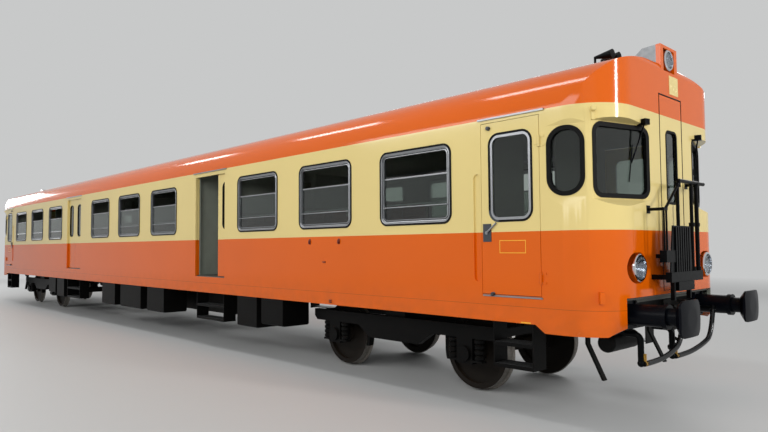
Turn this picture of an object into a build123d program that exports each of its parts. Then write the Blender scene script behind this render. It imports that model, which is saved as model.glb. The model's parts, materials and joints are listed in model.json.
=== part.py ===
"""Two-cab diesel railcar coach: a welded steel body on two four-wheel bogies.

Millimetres, +Z up, +X along the train. X = 0 is mid-length, Y = 0 the centre line and Z = 0 the
tips of the wheel flanges, which is what the coach stands on off the track. The body is the same
at both ends and on both sides. Heights that a drawing would give above the rail go through up().
A wall piece is drawn in a local frame first: X along the wall, outside towards -Y.
"""
from build123d import *
from collections import namedtuple
import math
import os

# Running gear
FLANGE_DEPTH = 28.0
TREAD_RADIUS = 455.0
WHEEL_BACK_Y = 680.0
TYRE_WIDTH = 135.0
FLANGE_WIDTH = 32.0
FLANGE_TIP = 12.0
TREAD_TAPER = 5.0
WEB_THICKNESS = 30.0
WEB_SETBACK = 50.0
RIM_THICKNESS = 70.0
HUB_RADIUS = 130.0
HUB_PROUD = 15.0
AXLE_RADIUS = 80.0
JOURNAL_RADIUS = 62.0
PIVOT_SETBACK = 3300.0
WHEELBASE = 2450.0
RUNNING_GAP = 0.4

# Bogie
BOGIE_FRAME_Y = 1000.0
BOGIE_FRAME_WIDTH = 90.0
BOGIE_FRAME_LOW = 640.0
BOGIE_FRAME_HIGH = 800.0
BOGIE_BELLY_LOW = 480.0
BOGIE_BELLY_HALF = 460.0
BOGIE_BELLY_RISE = 240.0
BOGIE_OVERHANG = 480.0
BOGIE_NOSE = 60.0
AXLEBOX_HALF = 120.0
AXLEBOX_COVER_RADIUS = 92.0
AXLEBOX_COVER_PROUD = 35.0
SPRING_OFFSET = 195.0
SPRING_RADIUS = 62.0
SPRING_CORE = 0.75
SPRING_TURNS = 4
SPRING_SEAT_DROP = 70.0
SPRING_SEAT_THICKNESS = 24.0
TRANSOM_X = 300.0
TRANSOM_HALF = 70.0
BOLSTER_HALF = 370.0
BOLSTER_LOW = 760.0
BOLSTER_HIGH = 900.0
BOLSTER_END_HALF = 190.0
CENTRE_PLATE_RADIUS = 260.0
PIVOT_PIN_RADIUS = 70.0
PIVOT_PIN_DROP = 160.0
SHOE_THICKNESS = 44.0
SHOE_HALF_HEIGHT = 150.0
SHOE_GAP = 6.0
SHOE_WIDTH = 80.0
SHOE_HANGER = 50.0

# Body shell
BODY_LENGTH = 22540.0
BODY_WIDTH = 2880.0
WALL = 40.0
CORNER_RADIUS = 500.0
SHOULDER_RADIUS = 500.0
ROOF_TOP = 3715.0
ROOF_SPRING = 3100.0
CREST_RADIUS = 110.0
CREST_RISE = 6.0
ROOF_SEAMS = (1050.0, 1315.0)
SIDE_BOTTOM = 1106.0
CAB_FRONT_BOTTOM = 1222.0
CAB_FRONT_HALF_CUT = 1090.0
FLOOR_TOP = 1230.0
FLOOR_THICKNESS = 80.0
CAB_FLOOR_LIP = 35.0

# Skirts under the sides and round the cab corners
SKIRT_SHEET = 12.0
SKIRT_BOTTOM = 935.0
CORNER_SKIRT_BOTTOM = 855.0
CORNER_SKIRT_START = 824.0
CORNER_SKIRT_CHAMFER = 112.0
CORNER_SKIRT_NOSE = (128.0, 23.0)

# Passenger windows, whose upper sash stands lowered behind the fixed pane
WINDOW_WIDTH = 1200.0
WINDOW_SILL = 1995.0
WINDOW_HEAD = 2935.0
WINDOW_CORNER = 125.0
WINDOW_PITCH = 1762.0
WINDOWS_END = 3
LAST_WINDOW_SETBACK = 2509.0
SEAL_WIDTH = 24.0
SEAL_PROUD = 8.0
FRAME_WIDTH = 52.0
FRAME_LIP = 18.0
FRAME_PROUD = 5.0
FRAME_STEP = 12.0
SASH_BAR = 18.0
SASH_FOOT = 2246.0
SASH_TOP = 2598.0
PANE = 8.0
PANE_SETBACK = 22.0
SASH_GAP = 3.0

# Cab windows: flat panes in recesses cut across the rounded corner
CAB_WINDOW_MARGIN = 8.0
CAB_SEAL_WIDTH = 46.0
RECESS_FOOT = 2117.0
RECESS_CROWN = 2984.0
RECESS_LIP = 9.0
QUARTER_BACK = 668.0
QUARTER_FRONT_ANGLE = 28.4
QUARTER_SILL = 2226.0
QUARTER_HEAD = 2928.0
QUARTER_CORNER = 185.0
CORNER_WINDOW_ANGLE = 34.9
CORNER_WINDOW_Y = 556.0
CORNER_SILL = 2200.0
CORNER_HEAD = 2948.0
CORNER_WINDOW_RADIUS = 120.0

# Crew door, one each side at each cab
CREW_DOOR_FRONT = 740.0
CREW_DOOR_WIDTH = 746.0
DOOR_SILL = 1215.0
DOOR_HEAD = 3078.0
DOOR_GAP = 6.0
CREW_PANE_WIDTH = 560.0
CREW_PANE_FRONT = 84.0
CREW_PANE_SILL = 1990.0
CREW_PANE_HEAD = 2954.0
CREW_PANE_CORNER = 130.0
CREW_FRAME_WIDTH = 28.0
HINGE_PIN_RADIUS = 7.0
HINGE_KNUCKLE_RADIUS = 14.0
HINGE_KNUCKLE_LENGTH = 70.0
HINGE_STRAP = 60.0
CREW_HINGE_HEIGHTS = (1371.0, 2768.0)
GANGWAY_HINGE_HEIGHTS = (1500.0, 2980.0)
LOCK_X = 18.0
LOCK_WIDTH = 108.0
LOCK_LOW = 1781.0
LOCK_HIGH = 1975.0
LOCK_PROUD = 6.0
LEVER_RADIUS = 10.0
LEVER_LENGTH = 165.0
LEVER_SLOPE = 39.0

# Groove for the hand beside each crew door
GROOVE_WIDTH = 94.0
GROOVE_LOW = 1350.0
GROOVE_HIGH = 2529.0
GROOVE_DEPTH = 24.0
GROOVE_FROM_DOOR = 60.0

# Entrance with two leaves that slide into pockets
ENTRANCE_TO_WINDOW = 1563.0
POCKET_LEAST = 700.0
ENTRANCE_WIDTH = 1068.0
ENTRANCE_HEAD = 3040.0
LEAF_THICKNESS = 32.0
LEAF_OVERLAP = 30.0
LEAF_SIDE_GAP = 6.0
LEAF_PANE_EDGE = 150.0
LEAF_PANE_WIDTH = 296.0
LEAF_PANE_SILL = 2058.0
LEAF_PANE_HEAD = 2898.0
LEAF_PANE_CORNER = 110.0
LINING = 20.0
OUTER_LEAF_OPEN = 225.0
RAIL_BAR = 24.0
ROLLER_RADIUS = 22.0
ROLLER_SHARES = (0.2, 0.8)

# Gangway door in the flat of each cab front
GANGWAY_WIDTH = 560.0
GANGWAY_SILL = 1262.0
GANGWAY_HEAD = 3335.0
GANGWAY_PANE_WIDTH = 300.0
GANGWAY_PANE_SILL = 2170.0
GANGWAY_PANE_HEAD = 2975.0
GANGWAY_PANE_CORNER = 75.0

# Buffing and draw gear
BUFFER_REACH = 500.0
BUFFER_HALF_SPACING = 875.0
BUFFER_HEIGHT = 1050.0
BUFFER_CASING_RADIUS = 105.0
BUFFER_CASING_SHARE = 0.66
BUFFER_COLLAR_RADIUS = 119.0
BUFFER_COLLAR_LENGTH = 46.0
BUFFER_PLUNGER_RADIUS = 84.0
BUFFER_BASE = 290.0
BUFFER_BASE_THICKNESS = 24.0
BUFFER_HEAD_WIDTH = 450.0
BUFFER_HEAD_HEIGHT = 340.0
BUFFER_HEAD_RIM = 38.0
BUFFER_HEAD_BACK = 60.0
BUFFER_HEAD_CORNER = 75.0
BUFFER_NECK = 0.62
BUFFER_BOLT_RADIUS = 18.0
BUFFER_FACE_RADIUS = 1500.0
BUFFER_FACE_FLAT = 90.0
HEADSTOCK_SETBACK = 120.0
HEADSTOCK_PLATE = 30.0
HOOK_THICKNESS = 50.0
HOOK_REACH = 245.0
HOOK_SHANK = 42.0
HOOK_NOSE_HIGH = 100.0
HOOK_MOUTH_RADIUS = 34.0
HOOK_PLATE = 190.0
LINK_RADIUS = 17.0
LINK_HALF_WIDTH = 62.0
LINK_LENGTH = 200.0
LINK_BEND = 50.0
SCREW_RADIUS = 22.0
SCREW_LENGTH = 210.0
SCREW_LEVER = (70.0, 105.0, 70.0)

# Lamps
LAMP_HALF_SPACING = 885.0
LAMP_HEIGHT = 1510.0
LAMP_RADIUS = 138.0
LAMP_RIM = 22.0
LAMP_PROUD = 32.0
LAMP_LENS_SETBACK = 14.0
LAMP_LENS = 10.0
LAMP_PAN_WIDTH = 400.0
LAMP_PAN_HEIGHT = 320.0
LAMP_PAN_DEPTH = 90.0
ROOF_LAMP_WIDTH = 430.0
ROOF_LAMP_TOP = 3905.0
ROOF_LAMP_FLAT = 200.0
ROOF_LAMP_LENGTH = 330.0
ROOF_LAMP_DROP = (15.0, 125.0)
ROOF_LAMP_RADIUS = 115.0
ROOF_LAMP_HEIGHT = 3755.0
ROOF_POCKET_HALF = 150.0
ROOF_POCKET_LOW = 3615.0
ROOF_POCKET_HIGH = 3880.0
PAN_SHEET = 8.0
TAIL_BRACKET_ANGLE = 41.5
TAIL_BRACKET = (60.0, 45.0, 109.0)
TAIL_BRACKET_LOW = 1177.0

# Underframe, heights above the rail
SILL_Y = 450.0
SILL_WIDTH = 120.0
SILL_BOTTOM = 970.0
CROSS_MEMBER_BOTTOM = 1062.0
CROSS_MEMBER_WIDTH = 80.0
CROSS_MEMBER_SETBACKS = (7786.0, 6033.0, 4620.0, 2020.0, 790.0)
UNDERFLOOR_LOW = 430.0
ENGINE = ((950.0, 3050.0), 560.0)
FUEL_TANK = (560.0, 560.0)
MID_BOX = (900.0, 1700.0)
END_BOXES = (((6710.0, 6110.0), UNDERFLOOR_LOW), ((5970.0, 5370.0), 510.0))
EQUIPMENT_DEPTH = 500.0
EQUIPMENT_CORNER = 35.0
RESERVOIR = (280.0, 760.0)
RESERVOIR_SPAN = (-1050.0, -430.0)
RESERVOIR_RADIUS = 95.0
RESERVOIR_STRAP_Y = (-800.0, -770.0)
BOLSTER_WIDTH = 240.0
STEP_HEIGHTS = (720.0, 490.0)
STEP_DEPTH = 240.0
STEP_PLATE = 14.0
STEP_LIP = 40.0
CREW_STEP_HALF = 250.0
GUARD_IRON = (640.0, 750.0)
GUARD_IRON_WIDTH = 70.0
GUARD_IRON_THICKNESS = 25.0
GUARD_IRON_LOW = 330.0
GUARD_IRON_SLANT = 180.0
GUARD_IRON_BEND = 690.0

# Inside
VESTIBULE_MARGINS = (180.0, 177.0)
CAB_LENGTH = 1670.0
BULKHEAD_THICKNESS = 30.0
AISLE_HALF = 380.0
DOORWAY_HEIGHT = 2000.0
SEAT_WIDTH = 980.0
SEAT_SIDE_GAP = 75.0
SEAT_HEIGHT = 430.0
SEAT_CUSHION = 130.0
SEAT_DEPTH = 470.0
SEAT_BACK_TOP = 1130.0
SEAT_BACK_THICKNESS = 110.0
SEAT_BOARD = 22.0
SEAT_SOFT_GAP = 0.3
SEAT_CORNER = 30.0
SEAT_PEDESTAL_SETBACK = 90.0
RACK_HEIGHT = 1780.0
RACK_DEPTH = 330.0
RACK_THICKNESS = 28.0
DESK_DEPTH = 440.0
DESK_HEIGHT = 790.0

# Brake pipes and hoses. Hose points are X from the body's end, Y and height above the rail.
PIPE_RADIUS = 30.0
PIPE_X = 30.0
PIPE_FEET = ((-935.0, 590.0), (-200.0, 575.0))
PIPE_RUN = 865.0
PIPE_BACK = 170.0
PLUG_LENGTH = 45.0
COCK_RADIUS = 36.0
COCK_HANDLE = (52.0, 8.0, 95.0)
HOSE_RADIUS = 26.0
HOSE_BEND_SHARE = 0.45
HOSE_ROUTES = (
    ((70.0, -900.0, 590.0), (90.0, -700.0, 592.0), (120.0, -450.0, 640.0), (122.0, -190.0, 728.0),
     (116.0, -125.0, 965.0)),
    ((70.0, -165.0, 575.0), (95.0, 60.0, 580.0), (130.0, 350.0, 640.0), (140.0, 610.0, 716.0),
     (134.0, 690.0, 1000.0)),
)
HOLDER_WIDTH = 56.0
HOLDER_HEIGHT = 50.0

# Folded bridge gear in front of each gangway door. Depths are from the front sheet.
GEAR_DEPTH = 180.0
GEAR_BLOCKS = (
    ((150.0, 210.0), (-600.0, 220.0), (1360.0, 1460.0)),
    ((140.0, 220.0), (-450.0, -50.0), (1270.0, 1360.0)),
    ((160.0, 200.0), (-518.0, -482.0), (1180.0, 1360.0)),
    ((160.0, 200.0), (-118.0, -82.0), (1180.0, 1270.0)),
    ((130.0, 200.0), (-680.0, -350.0), (1560.0, 1680.0)),
    ((0.0, 150.0), (-585.0, -535.0), (1385.0, 1435.0)),
    ((0.0, 130.0), (-470.0, -430.0), (1600.0, 1640.0)),
    ((0.0, 190.0), (350.0, 380.0), (2385.0, 2415.0)),
    ((0.0, 190.0), (-645.0, -605.0), (2080.0, 2110.0)),
    ((0.0, 8.0), (-660.0, -590.0), (2055.0, 2135.0)),
    ((0.0, 8.0), (330.0, 400.0), (2360.0, 2440.0)),
)
GEAR_BARS = (
    ((30.0, 1460.0), (30.0, 2400.0), 18.0),
    ((170.0, 1460.0), (170.0, 2400.0), 22.0),
    ((-330.0, 1925.0), (-330.0, 2360.0), 18.0),
    ((-680.0, 1670.0), (-680.0, 2100.0), 10.0),
    ((-620.0, 1670.0), (-620.0, 2100.0), 10.0),
    ((-290.0, 2400.0), (380.0, 2400.0), 20.0),
    ((-290.0, 2330.0), (-290.0, 2400.0), 20.0),
    ((-330.0, 2360.0), (-290.0, 2360.0), 14.0),
    ((-330.0, 2340.0), (-640.0, 2095.0), 14.0),
    ((-620.0, 2095.0), (-700.0, 2095.0), 14.0),
)
GEAR_COLLARS = ((30.0, 1460.0), (30.0, 1930.0), (170.0, 1460.0), (170.0, 1930.0), (170.0, 2360.0))
GEAR_COLLAR = (30.0, 40.0)
GEAR_PLATE = ((-580.0, 1400.0), (-20.0, 1400.0), (-50.0, 1930.0), (-500.0, 1930.0))
GEAR_PLATE_THICKNESS = 12.0
GEAR_RIBS = 7
GEAR_RIB = 14.0

# Fittings on the roof, over the doors and on the windscreens
VENT_RADIUS = 180.0
VENT_RISE = 55.0
VENT_NECK = 0.8
HORNS = (-670.0, -520.0)
HORN_BACK = 520.0
HORN_LENGTH = 210.0
HORN_RADII = (14.0, 52.0)
HORN_HEIGHT = 3765.0
STRIPS = (
    ("crew", (30.0, 63.0), 3110.0, 18.0, 20.0),
    ("entrance", (60.0, 60.0), 3104.0, 18.0, 20.0),
    ("crew", (-16.0, 13.0), 1195.0, 16.0, 12.0),
)
WIPER_MOTOR = (272.0, 2978.0)
WIPER_MOTOR_SIZE = (70.0, 60.0, 60.0)
WIPER_TIP = (150.0, 2400.0)
WIPER_ARM_RADIUS = 8.0
WIPER_BLADE = (2370.0, 2750.0)
WIPER_BLADE_LEAN = 60.0
WIPER_BLADE_WIDTH = 12.0

Window = namedtuple("Window", "width sill head corner")

# Values that follow from the ones above
HALF_LENGTH = BODY_LENGTH / 2
HALF_WIDTH = BODY_WIDTH / 2
SHOULDER_Y = HALF_WIDTH - SHOULDER_RADIUS
ROOF_RISE = ROOF_TOP - ROOF_SPRING
CROWN_RADIUS = (SHOULDER_Y**2 + ROOF_RISE**2 - SHOULDER_RADIUS**2) / (
    2 * (ROOF_RISE - SHOULDER_RADIUS)
)
ACROSS = (-BODY_WIDTH, BODY_WIDTH)
ALONG = (-BODY_LENGTH, BODY_LENGTH)
FULL_HEIGHT = (0, 2 * ROOF_TOP)
CREW_HINGE_X = HALF_LENGTH - CREW_DOOR_FRONT
CREW_DOOR_BACK = CREW_HINGE_X - CREW_DOOR_WIDTH
CREW_DOOR_X = CREW_HINGE_X - CREW_DOOR_WIDTH / 2
CAB_BULKHEAD = HALF_LENGTH - CAB_LENGTH
PIVOT_X = HALF_LENGTH - PIVOT_SETBACK
LAST_WINDOW = HALF_LENGTH - LAST_WINDOW_SETBACK
END_WINDOW_FIRST = LAST_WINDOW - (WINDOWS_END - 1) * WINDOW_PITCH
ENTRANCE_CENTRE = END_WINDOW_FIRST - ENTRANCE_TO_WINDOW
ENTRANCE_INNER = ENTRANCE_CENTRE - ENTRANCE_WIDTH / 2
ENTRANCE_OUTER = ENTRANCE_CENTRE + ENTRANCE_WIDTH / 2
VESTIBULE_WALLS = (ENTRANCE_INNER - VESTIBULE_MARGINS[0], ENTRANCE_OUTER + VESTIBULE_MARGINS[1])
WINDOW_GAP = WINDOW_PITCH - WINDOW_WIDTH - 2 * WALL
WINDOWS_MID = int((2 * (ENTRANCE_INNER - POCKET_LEAST) + WINDOW_GAP) / WINDOW_PITCH)
LEAF_OUTER_Y = HALF_WIDTH - WALL - LEAF_SIDE_GAP
LEAF_INNER_Y = LEAF_OUTER_Y - LEAF_THICKNESS
LINING_OUTER_Y = LEAF_INNER_Y - LEAF_SIDE_GAP
LEAF_CLOSED_EDGE = DOOR_GAP / 2
LEAF_WIDTH = ENTRANCE_WIDTH / 2 - LEAF_CLOSED_EDGE + LEAF_OVERLAP
INNER_POCKET_END = WINDOW_PITCH * (WINDOWS_MID - 1) / 2 + WINDOW_WIDTH / 2 + WALL
OUTER_POCKET_END = END_WINDOW_FIRST - WINDOW_WIDTH / 2 - WALL
HINGE_Y = HALF_WIDTH + HINGE_KNUCKLE_RADIUS
HEADSTOCK_X = HALF_LENGTH - HEADSTOCK_SETBACK
AXLE_Z = FLANGE_DEPTH + TREAD_RADIUS
PASSENGER = Window(WINDOW_WIDTH, WINDOW_SILL, WINDOW_HEAD, WINDOW_CORNER)
CREW_PANE = Window(CREW_PANE_WIDTH, CREW_PANE_SILL, CREW_PANE_HEAD, CREW_PANE_CORNER)
LEAF_PANE = Window(LEAF_PANE_WIDTH, LEAF_PANE_SILL, LEAF_PANE_HEAD, LEAF_PANE_CORNER)
GANGWAY_PANE = Window(GANGWAY_PANE_WIDTH, GANGWAY_PANE_SILL, GANGWAY_PANE_HEAD, GANGWAY_PANE_CORNER)
WINDOW_CENTRES = [WINDOW_PITCH * (bay - (WINDOWS_MID - 1) / 2) for bay in range(WINDOWS_MID)]
for bay in range(WINDOWS_END):
    WINDOW_CENTRES += [END_WINDOW_FIRST + bay * WINDOW_PITCH, -END_WINDOW_FIRST - bay * WINDOW_PITCH]


def up(height_above_rail):
    """Height above the flange tips of a height above the rail."""
    return FLANGE_DEPTH + height_above_rail


def block(x, y, z):
    """Box between two limits on each axis."""
    size = [abs(high - low) for low, high in (x, y, z)]
    centre = [(high + low) / 2 for low, high in (x, y, z)]
    return Pos(*centre) * Box(*size)


def rod(start, axis, radius, length):
    """Round bar from a start point along +X, +Y or +Z."""
    turn = {"x": Rot(0, 90, 0), "y": Rot(-90, 0, 0), "z": Rot(0, 0, 0)}[axis]
    bar = Cylinder(radius, length, align=(Align.CENTER, Align.CENTER, Align.MIN))
    return Pos(*start) * turn * bar


def bar_between(start, end, radius):
    """Round bar between any two points."""
    way = Vector(*end) - Vector(*start)
    bar = Cylinder(radius, way.length, align=(Align.CENTER, Align.CENTER, Align.MIN))
    return Plane(origin=start, z_dir=way) * bar


def solids_of(pieces):
    """Every solid in a list of shapes, as one flat list."""
    found = []
    for piece in pieces:
        found.extend(piece.solids())
    return found


def both_ends(pieces):
    """The pieces of the front end and the same ones turned round for the rear end."""
    return pieces + [Rot(0, 0, 180) * piece for piece in pieces]


def both_sides(pieces):
    """The pieces of the near side and their mirror images on the far side."""
    return pieces + [piece.mirror(Plane.XZ) for piece in pieces]


def four_corners(pieces):
    """The pieces of one quarter, mirrored to all four."""
    sides = both_sides(pieces)
    return sides + [piece.mirror(Plane.YZ) for piece in sides]


def save(node, pieces):
    """Write one named sub-part."""
    solids = solids_of(pieces)
    shape = solids[0] if len(solids) == 1 else Compound(children=solids)
    export_step(shape, f"parts/{node}.step")


# Body shell

def roof_profile(inset, low):
    """Cross-section of the body: upright sides, round shoulders and a shallow crown."""
    half = HALF_WIDTH - inset
    shoulder = SHOULDER_RADIUS - inset
    spring = up(ROOF_SPRING)
    crown_centre = up(ROOF_TOP) - CROWN_RADIUS
    lean = math.atan2(SHOULDER_Y, spring - crown_centre)
    middle = (lean + math.pi / 2) / 2

    def shoulder_point(side, angle):
        return (side * (SHOULDER_Y + shoulder * math.sin(angle)), spring + shoulder * math.cos(angle))

    left = [shoulder_point(-1, angle) for angle in (math.pi / 2, middle, lean)]
    right = [shoulder_point(1, angle) for angle in (lean, middle, math.pi / 2)]
    edges = [
        Line((half, low), (-half, low)),
        Line((-half, low), left[0]),
        ThreePointArc(*left),
        ThreePointArc(left[2], (0, up(ROOF_TOP) - inset), right[0]),
        ThreePointArc(*right),
        Line(right[2], (half, low)),
    ]
    return make_face(Plane.YZ * Curve(edges))


def body_block(inset, low):
    """The whole body as a solid, drawn in by an inset and cut off at a height. The round over each
    end starts a little above the ridge, so that it cuts the crown and doesn't just touch it.
    """
    plan = RectangleRounded(BODY_LENGTH - 2 * inset, BODY_WIDTH - 2 * inset, CORNER_RADIUS - inset)
    upright = Pos(0, 0, low) * extrude(plan, 2 * ROOF_TOP)
    along = extrude(roof_profile(inset, low), HALF_LENGTH, both=True)
    x, z = HALF_LENGTH - CREST_RADIUS, up(ROOF_TOP) + CREST_RISE - CREST_RADIUS
    corner_y = HALF_WIDTH - CORNER_RADIUS
    waste = block((x, BODY_LENGTH), (-corner_y, corner_y), (z, 2 * ROOF_TOP))
    waste -= rod((x, -corner_y, z), "y", CREST_RADIUS - inset, 2 * corner_y)
    return (upright & along) - both_ends([waste])


def slab(window, inset, y):
    """Upright slab with a window's outline, drawn in by an inset, between two depths."""
    size = (window.width - 2 * inset, window.head - window.sill - 2 * inset)
    outline = RectangleRounded(*size, window.corner - inset)
    return Pos(0, y[1], up((window.sill + window.head) / 2)) * extrude(Plane.XZ * outline, y[1] - y[0])


def ring(window, outer, inner, y):
    """Closed ring that follows a window's outline between two insets."""
    return slab(window, outer, y) - slab(window, inner, y)


def on_corner(angle):
    """Point of the near front corner, by its angle from the side."""
    turn = math.radians(angle)
    return (
        HALF_LENGTH - CORNER_RADIUS + CORNER_RADIUS * math.sin(turn),
        -(HALF_WIDTH - CORNER_RADIUS) - CORNER_RADIUS * math.cos(turn),
    )


def cab_windows():
    """Local frame, window and depth of recess of the quarter and corner windows, near front."""
    found = []
    for start, end, sill, head, corner in (
        ((HALF_LENGTH - QUARTER_BACK, -HALF_WIDTH), on_corner(QUARTER_FRONT_ANGLE),
         QUARTER_SILL, QUARTER_HEAD, QUARTER_CORNER),
        (on_corner(CORNER_WINDOW_ANGLE), (HALF_LENGTH, -CORNER_WINDOW_Y),
         CORNER_SILL, CORNER_HEAD, CORNER_WINDOW_RADIUS),
    ):
        chord = math.dist(start, end)
        turn = math.atan2(end[1] - start[1], end[0] - start[0])
        centre = (HALF_LENGTH - CORNER_RADIUS, -(HALF_WIDTH - CORNER_RADIUS))
        reach = (centre[0] - start[0]) * math.sin(turn) - (centre[1] - start[1]) * math.cos(turn)
        place = Pos((start[0] + end[0]) / 2, (start[1] + end[1]) / 2, 0) * Rot(0, 0, math.degrees(turn))
        window = Window(chord - 2 * CAB_WINDOW_MARGIN, sill, head, corner)
        found.append((place, window, CORNER_RADIUS + reach))
    return found


def recess(window, depth, grow):
    """Wedge cut out in front of a cab window: a sloping sill below it and a brow above."""
    foot = up(window.sill - RECESS_LIP)
    brow = up(window.head + RECESS_LIP)
    fall = 2 * (foot - up(RECESS_FOOT))
    rise = 2 * (up(RECESS_CROWN) - brow)
    outline = Polyline(
        (grow, foot - grow), (-2 * depth, foot - fall - grow),
        (-2 * depth, brow + rise + grow), (grow, brow + grow), close=True,
    )
    half = window.width / 2 + CAB_WINDOW_MARGIN + grow
    return extrude(Plane.YZ * make_face(outline), half, both=True)


def make_shell():
    """Side panels, door surrounds, roof and cab corners, cut from one shell where they meet."""
    outside = body_block(0, up(SIDE_BOTTOM))
    shell = outside - body_block(WALL, up(SIDE_BOTTOM) - WALL)
    half_door = GANGWAY_WIDTH / 2 + DOOR_GAP
    for end in (1, -1):
        door_x = (end * (HALF_LENGTH - CORNER_RADIUS), end * BODY_LENGTH)
        door_z = (up(GANGWAY_SILL) - DOOR_GAP, up(GANGWAY_HEAD) + DOOR_GAP)
        shell -= block(door_x, (-half_door, half_door), door_z)
    low, high = 0, up(ROOF_SPRING)
    openings = []
    for x in WINDOW_CENTRES:
        openings.append(Pos(x, 0, 0) * slab(PASSENGER, 0, ACROSS))
    groove = Window(GROOVE_WIDTH, GROOVE_LOW, GROOVE_HIGH, GROOVE_WIDTH / 2 - 1)
    for end in (1, -1):
        x = end * (CREW_DOOR_BACK - GROOVE_FROM_DOOR)
        for side in (1, -1):
            y = sorted((side * (HALF_WIDTH - GROOVE_DEPTH), side * BODY_WIDTH))
            openings.append(Pos(x, 0, 0) * slab(groove, 0, y))
    panels = []
    outer = (ENTRANCE_OUTER, CREW_DOOR_BACK)
    for x in ((-ENTRANCE_INNER, ENTRANCE_INNER), outer, (-outer[1], -outer[0])):
        panels.append((shell & block(x, ACROSS, (low, high))) - openings)
    surrounds = []
    crew = (CREW_DOOR_BACK, CREW_HINGE_X)
    entrance = (ENTRANCE_INNER, ENTRANCE_OUTER)
    for x, head in ((crew, DOOR_HEAD), (entrance, ENTRANCE_HEAD)):
        for end in (1, -1):
            span = (end * x[0], end * x[1])
            surrounds.append(shell & block(span, ACROSS, (low, up(DOOR_SILL))))
            surrounds.append(shell & block(span, ACROSS, (up(head), high)))
    roof = shell & block(ALONG, ACROSS, (high, 2 * ROOF_TOP))
    roof -= both_ends([roof_pocket(0)])
    cab = shell & block((CREW_HINGE_X, BODY_LENGTH), ACROSS, (low, high))
    front = (HALF_LENGTH - CORNER_RADIUS, BODY_LENGTH)
    cab -= block(front, (-CAB_FRONT_HALF_CUT, CAB_FRONT_HALF_CUT), (0, up(CAB_FRONT_BOTTOM)))
    for place, window, depth in cab_windows():
        pans = both_sides([place * recess(window, depth, WALL) & outside])
        cab = (cab + pans) - both_sides([place * recess(window, depth, 0)])
        cab -= both_sides([place * slab(window, 0, (-2 * depth, 2 * WALL))])
    cab -= [Pos(0, side * LAMP_HALF_SPACING, 0) * lamp_hole(0) for side in (1, -1)]
    below_door = block(front, (-half_door, half_door), (0, up(GANGWAY_SILL)))
    surrounds += both_ends([cab & below_door])
    return panels, surrounds, roof_sheets(roof), cab - below_door


def roof_sheets(roof):
    """The roof cut at its seams: crown, shoulders and cant sheets, and the sheets of each rounded end."""
    start = HALF_LENGTH - CORNER_RADIUS
    corner_y = HALF_WIDTH - CORNER_RADIUS
    inner = HALF_LENGTH - WALL
    crown, shoulder = ROOF_SEAMS
    sheets = [roof & block((-start, start), (-crown, crown), FULL_HEIGHT)]
    for y in ((-shoulder, -crown), (-BODY_WIDTH, -shoulder)):
        sheets += both_sides([roof & block((-start, start), y, FULL_HEIGHT)])
    door = GANGWAY_WIDTH / 2 + DOOR_GAP
    front = roof & block((inner, BODY_LENGTH), (-corner_y, corner_y), FULL_HEIGHT)
    ends = both_sides([
        roof & block((start, BODY_LENGTH), (-BODY_WIDTH, -corner_y), FULL_HEIGHT),
        front & block((inner, BODY_LENGTH), (-corner_y, -door), FULL_HEIGHT),
    ])
    ends.append(front & block((inner, BODY_LENGTH), (-door, door), FULL_HEIGHT))
    ends.append(roof & block((start, inner), (-corner_y, corner_y), FULL_HEIGHT))
    return sheets + both_ends(ends)


def roof_pocket(inset):
    """Room for the roof lamp, open to the front."""
    return block(
        (HALF_LENGTH - LAMP_PAN_DEPTH + inset, HALF_LENGTH + WALL),
        (-ROOF_POCKET_HALF + inset, ROOF_POCKET_HALF - inset),
        (up(ROOF_POCKET_LOW) + inset, up(ROOF_POCKET_HIGH) - inset),
    )


def lamp_hole(inset):
    """Rounded slab through the front sheet for a headlamp pan."""
    radius = LAMP_PAN_HEIGHT / 2 - inset - 1
    face = RectangleRounded(LAMP_PAN_WIDTH - 2 * inset, LAMP_PAN_HEIGHT - 2 * inset, radius)
    through = extrude(Plane.YZ * face, CORNER_RADIUS)
    return Pos(HALF_LENGTH - CORNER_RADIUS / 2, 0, up(LAMP_HEIGHT)) * through


def make_skirts():
    """Straight sheets that carry the sides down past the floor, and deeper ones round each cab corner."""
    low, drop = up(CORNER_SKIRT_BOTTOM), up(SKIRT_BOTTOM)
    sheet = body_block(0, low) - body_block(SKIRT_SHEET, low - WALL)
    sheet &= block(ALONG, ACROSS, (0, up(SIDE_BOTTOM)))
    start = HALF_LENGTH - CORNER_SKIRT_START
    straight = sheet & block((-start, start), ACROSS, (drop, up(SIDE_BOTTOM)))
    waste = Polyline(
        (start, 0), (start, drop), (start + CORNER_SKIRT_CHAMFER, low),
        (HALF_LENGTH - CORNER_SKIRT_NOSE[0], low), (HALF_LENGTH - CORNER_SKIRT_NOSE[1], drop),
        (BODY_LENGTH, drop), (BODY_LENGTH, 0), close=True,
    )
    corners = sheet & block((start, BODY_LENGTH), ACROSS, FULL_HEIGHT)
    corners -= extrude(Plane.XZ * make_face(waste), BODY_WIDTH, both=True)
    front = (HALF_LENGTH - CORNER_RADIUS, BODY_LENGTH)
    corners -= block(front, (-CAB_FRONT_HALF_CUT, CAB_FRONT_HALF_CUT), FULL_HEIGHT)
    reach, width, height = TAIL_BRACKET
    bracket = Pos(*on_corner(TAIL_BRACKET_ANGLE), up(TAIL_BRACKET_LOW) + height / 2)
    bracket *= Rot(0, 0, TAIL_BRACKET_ANGLE) * Box(width, 2 * reach, height)
    return [straight], both_ends([corners]), bracket - body_block(0, 0)


# Windows

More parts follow.
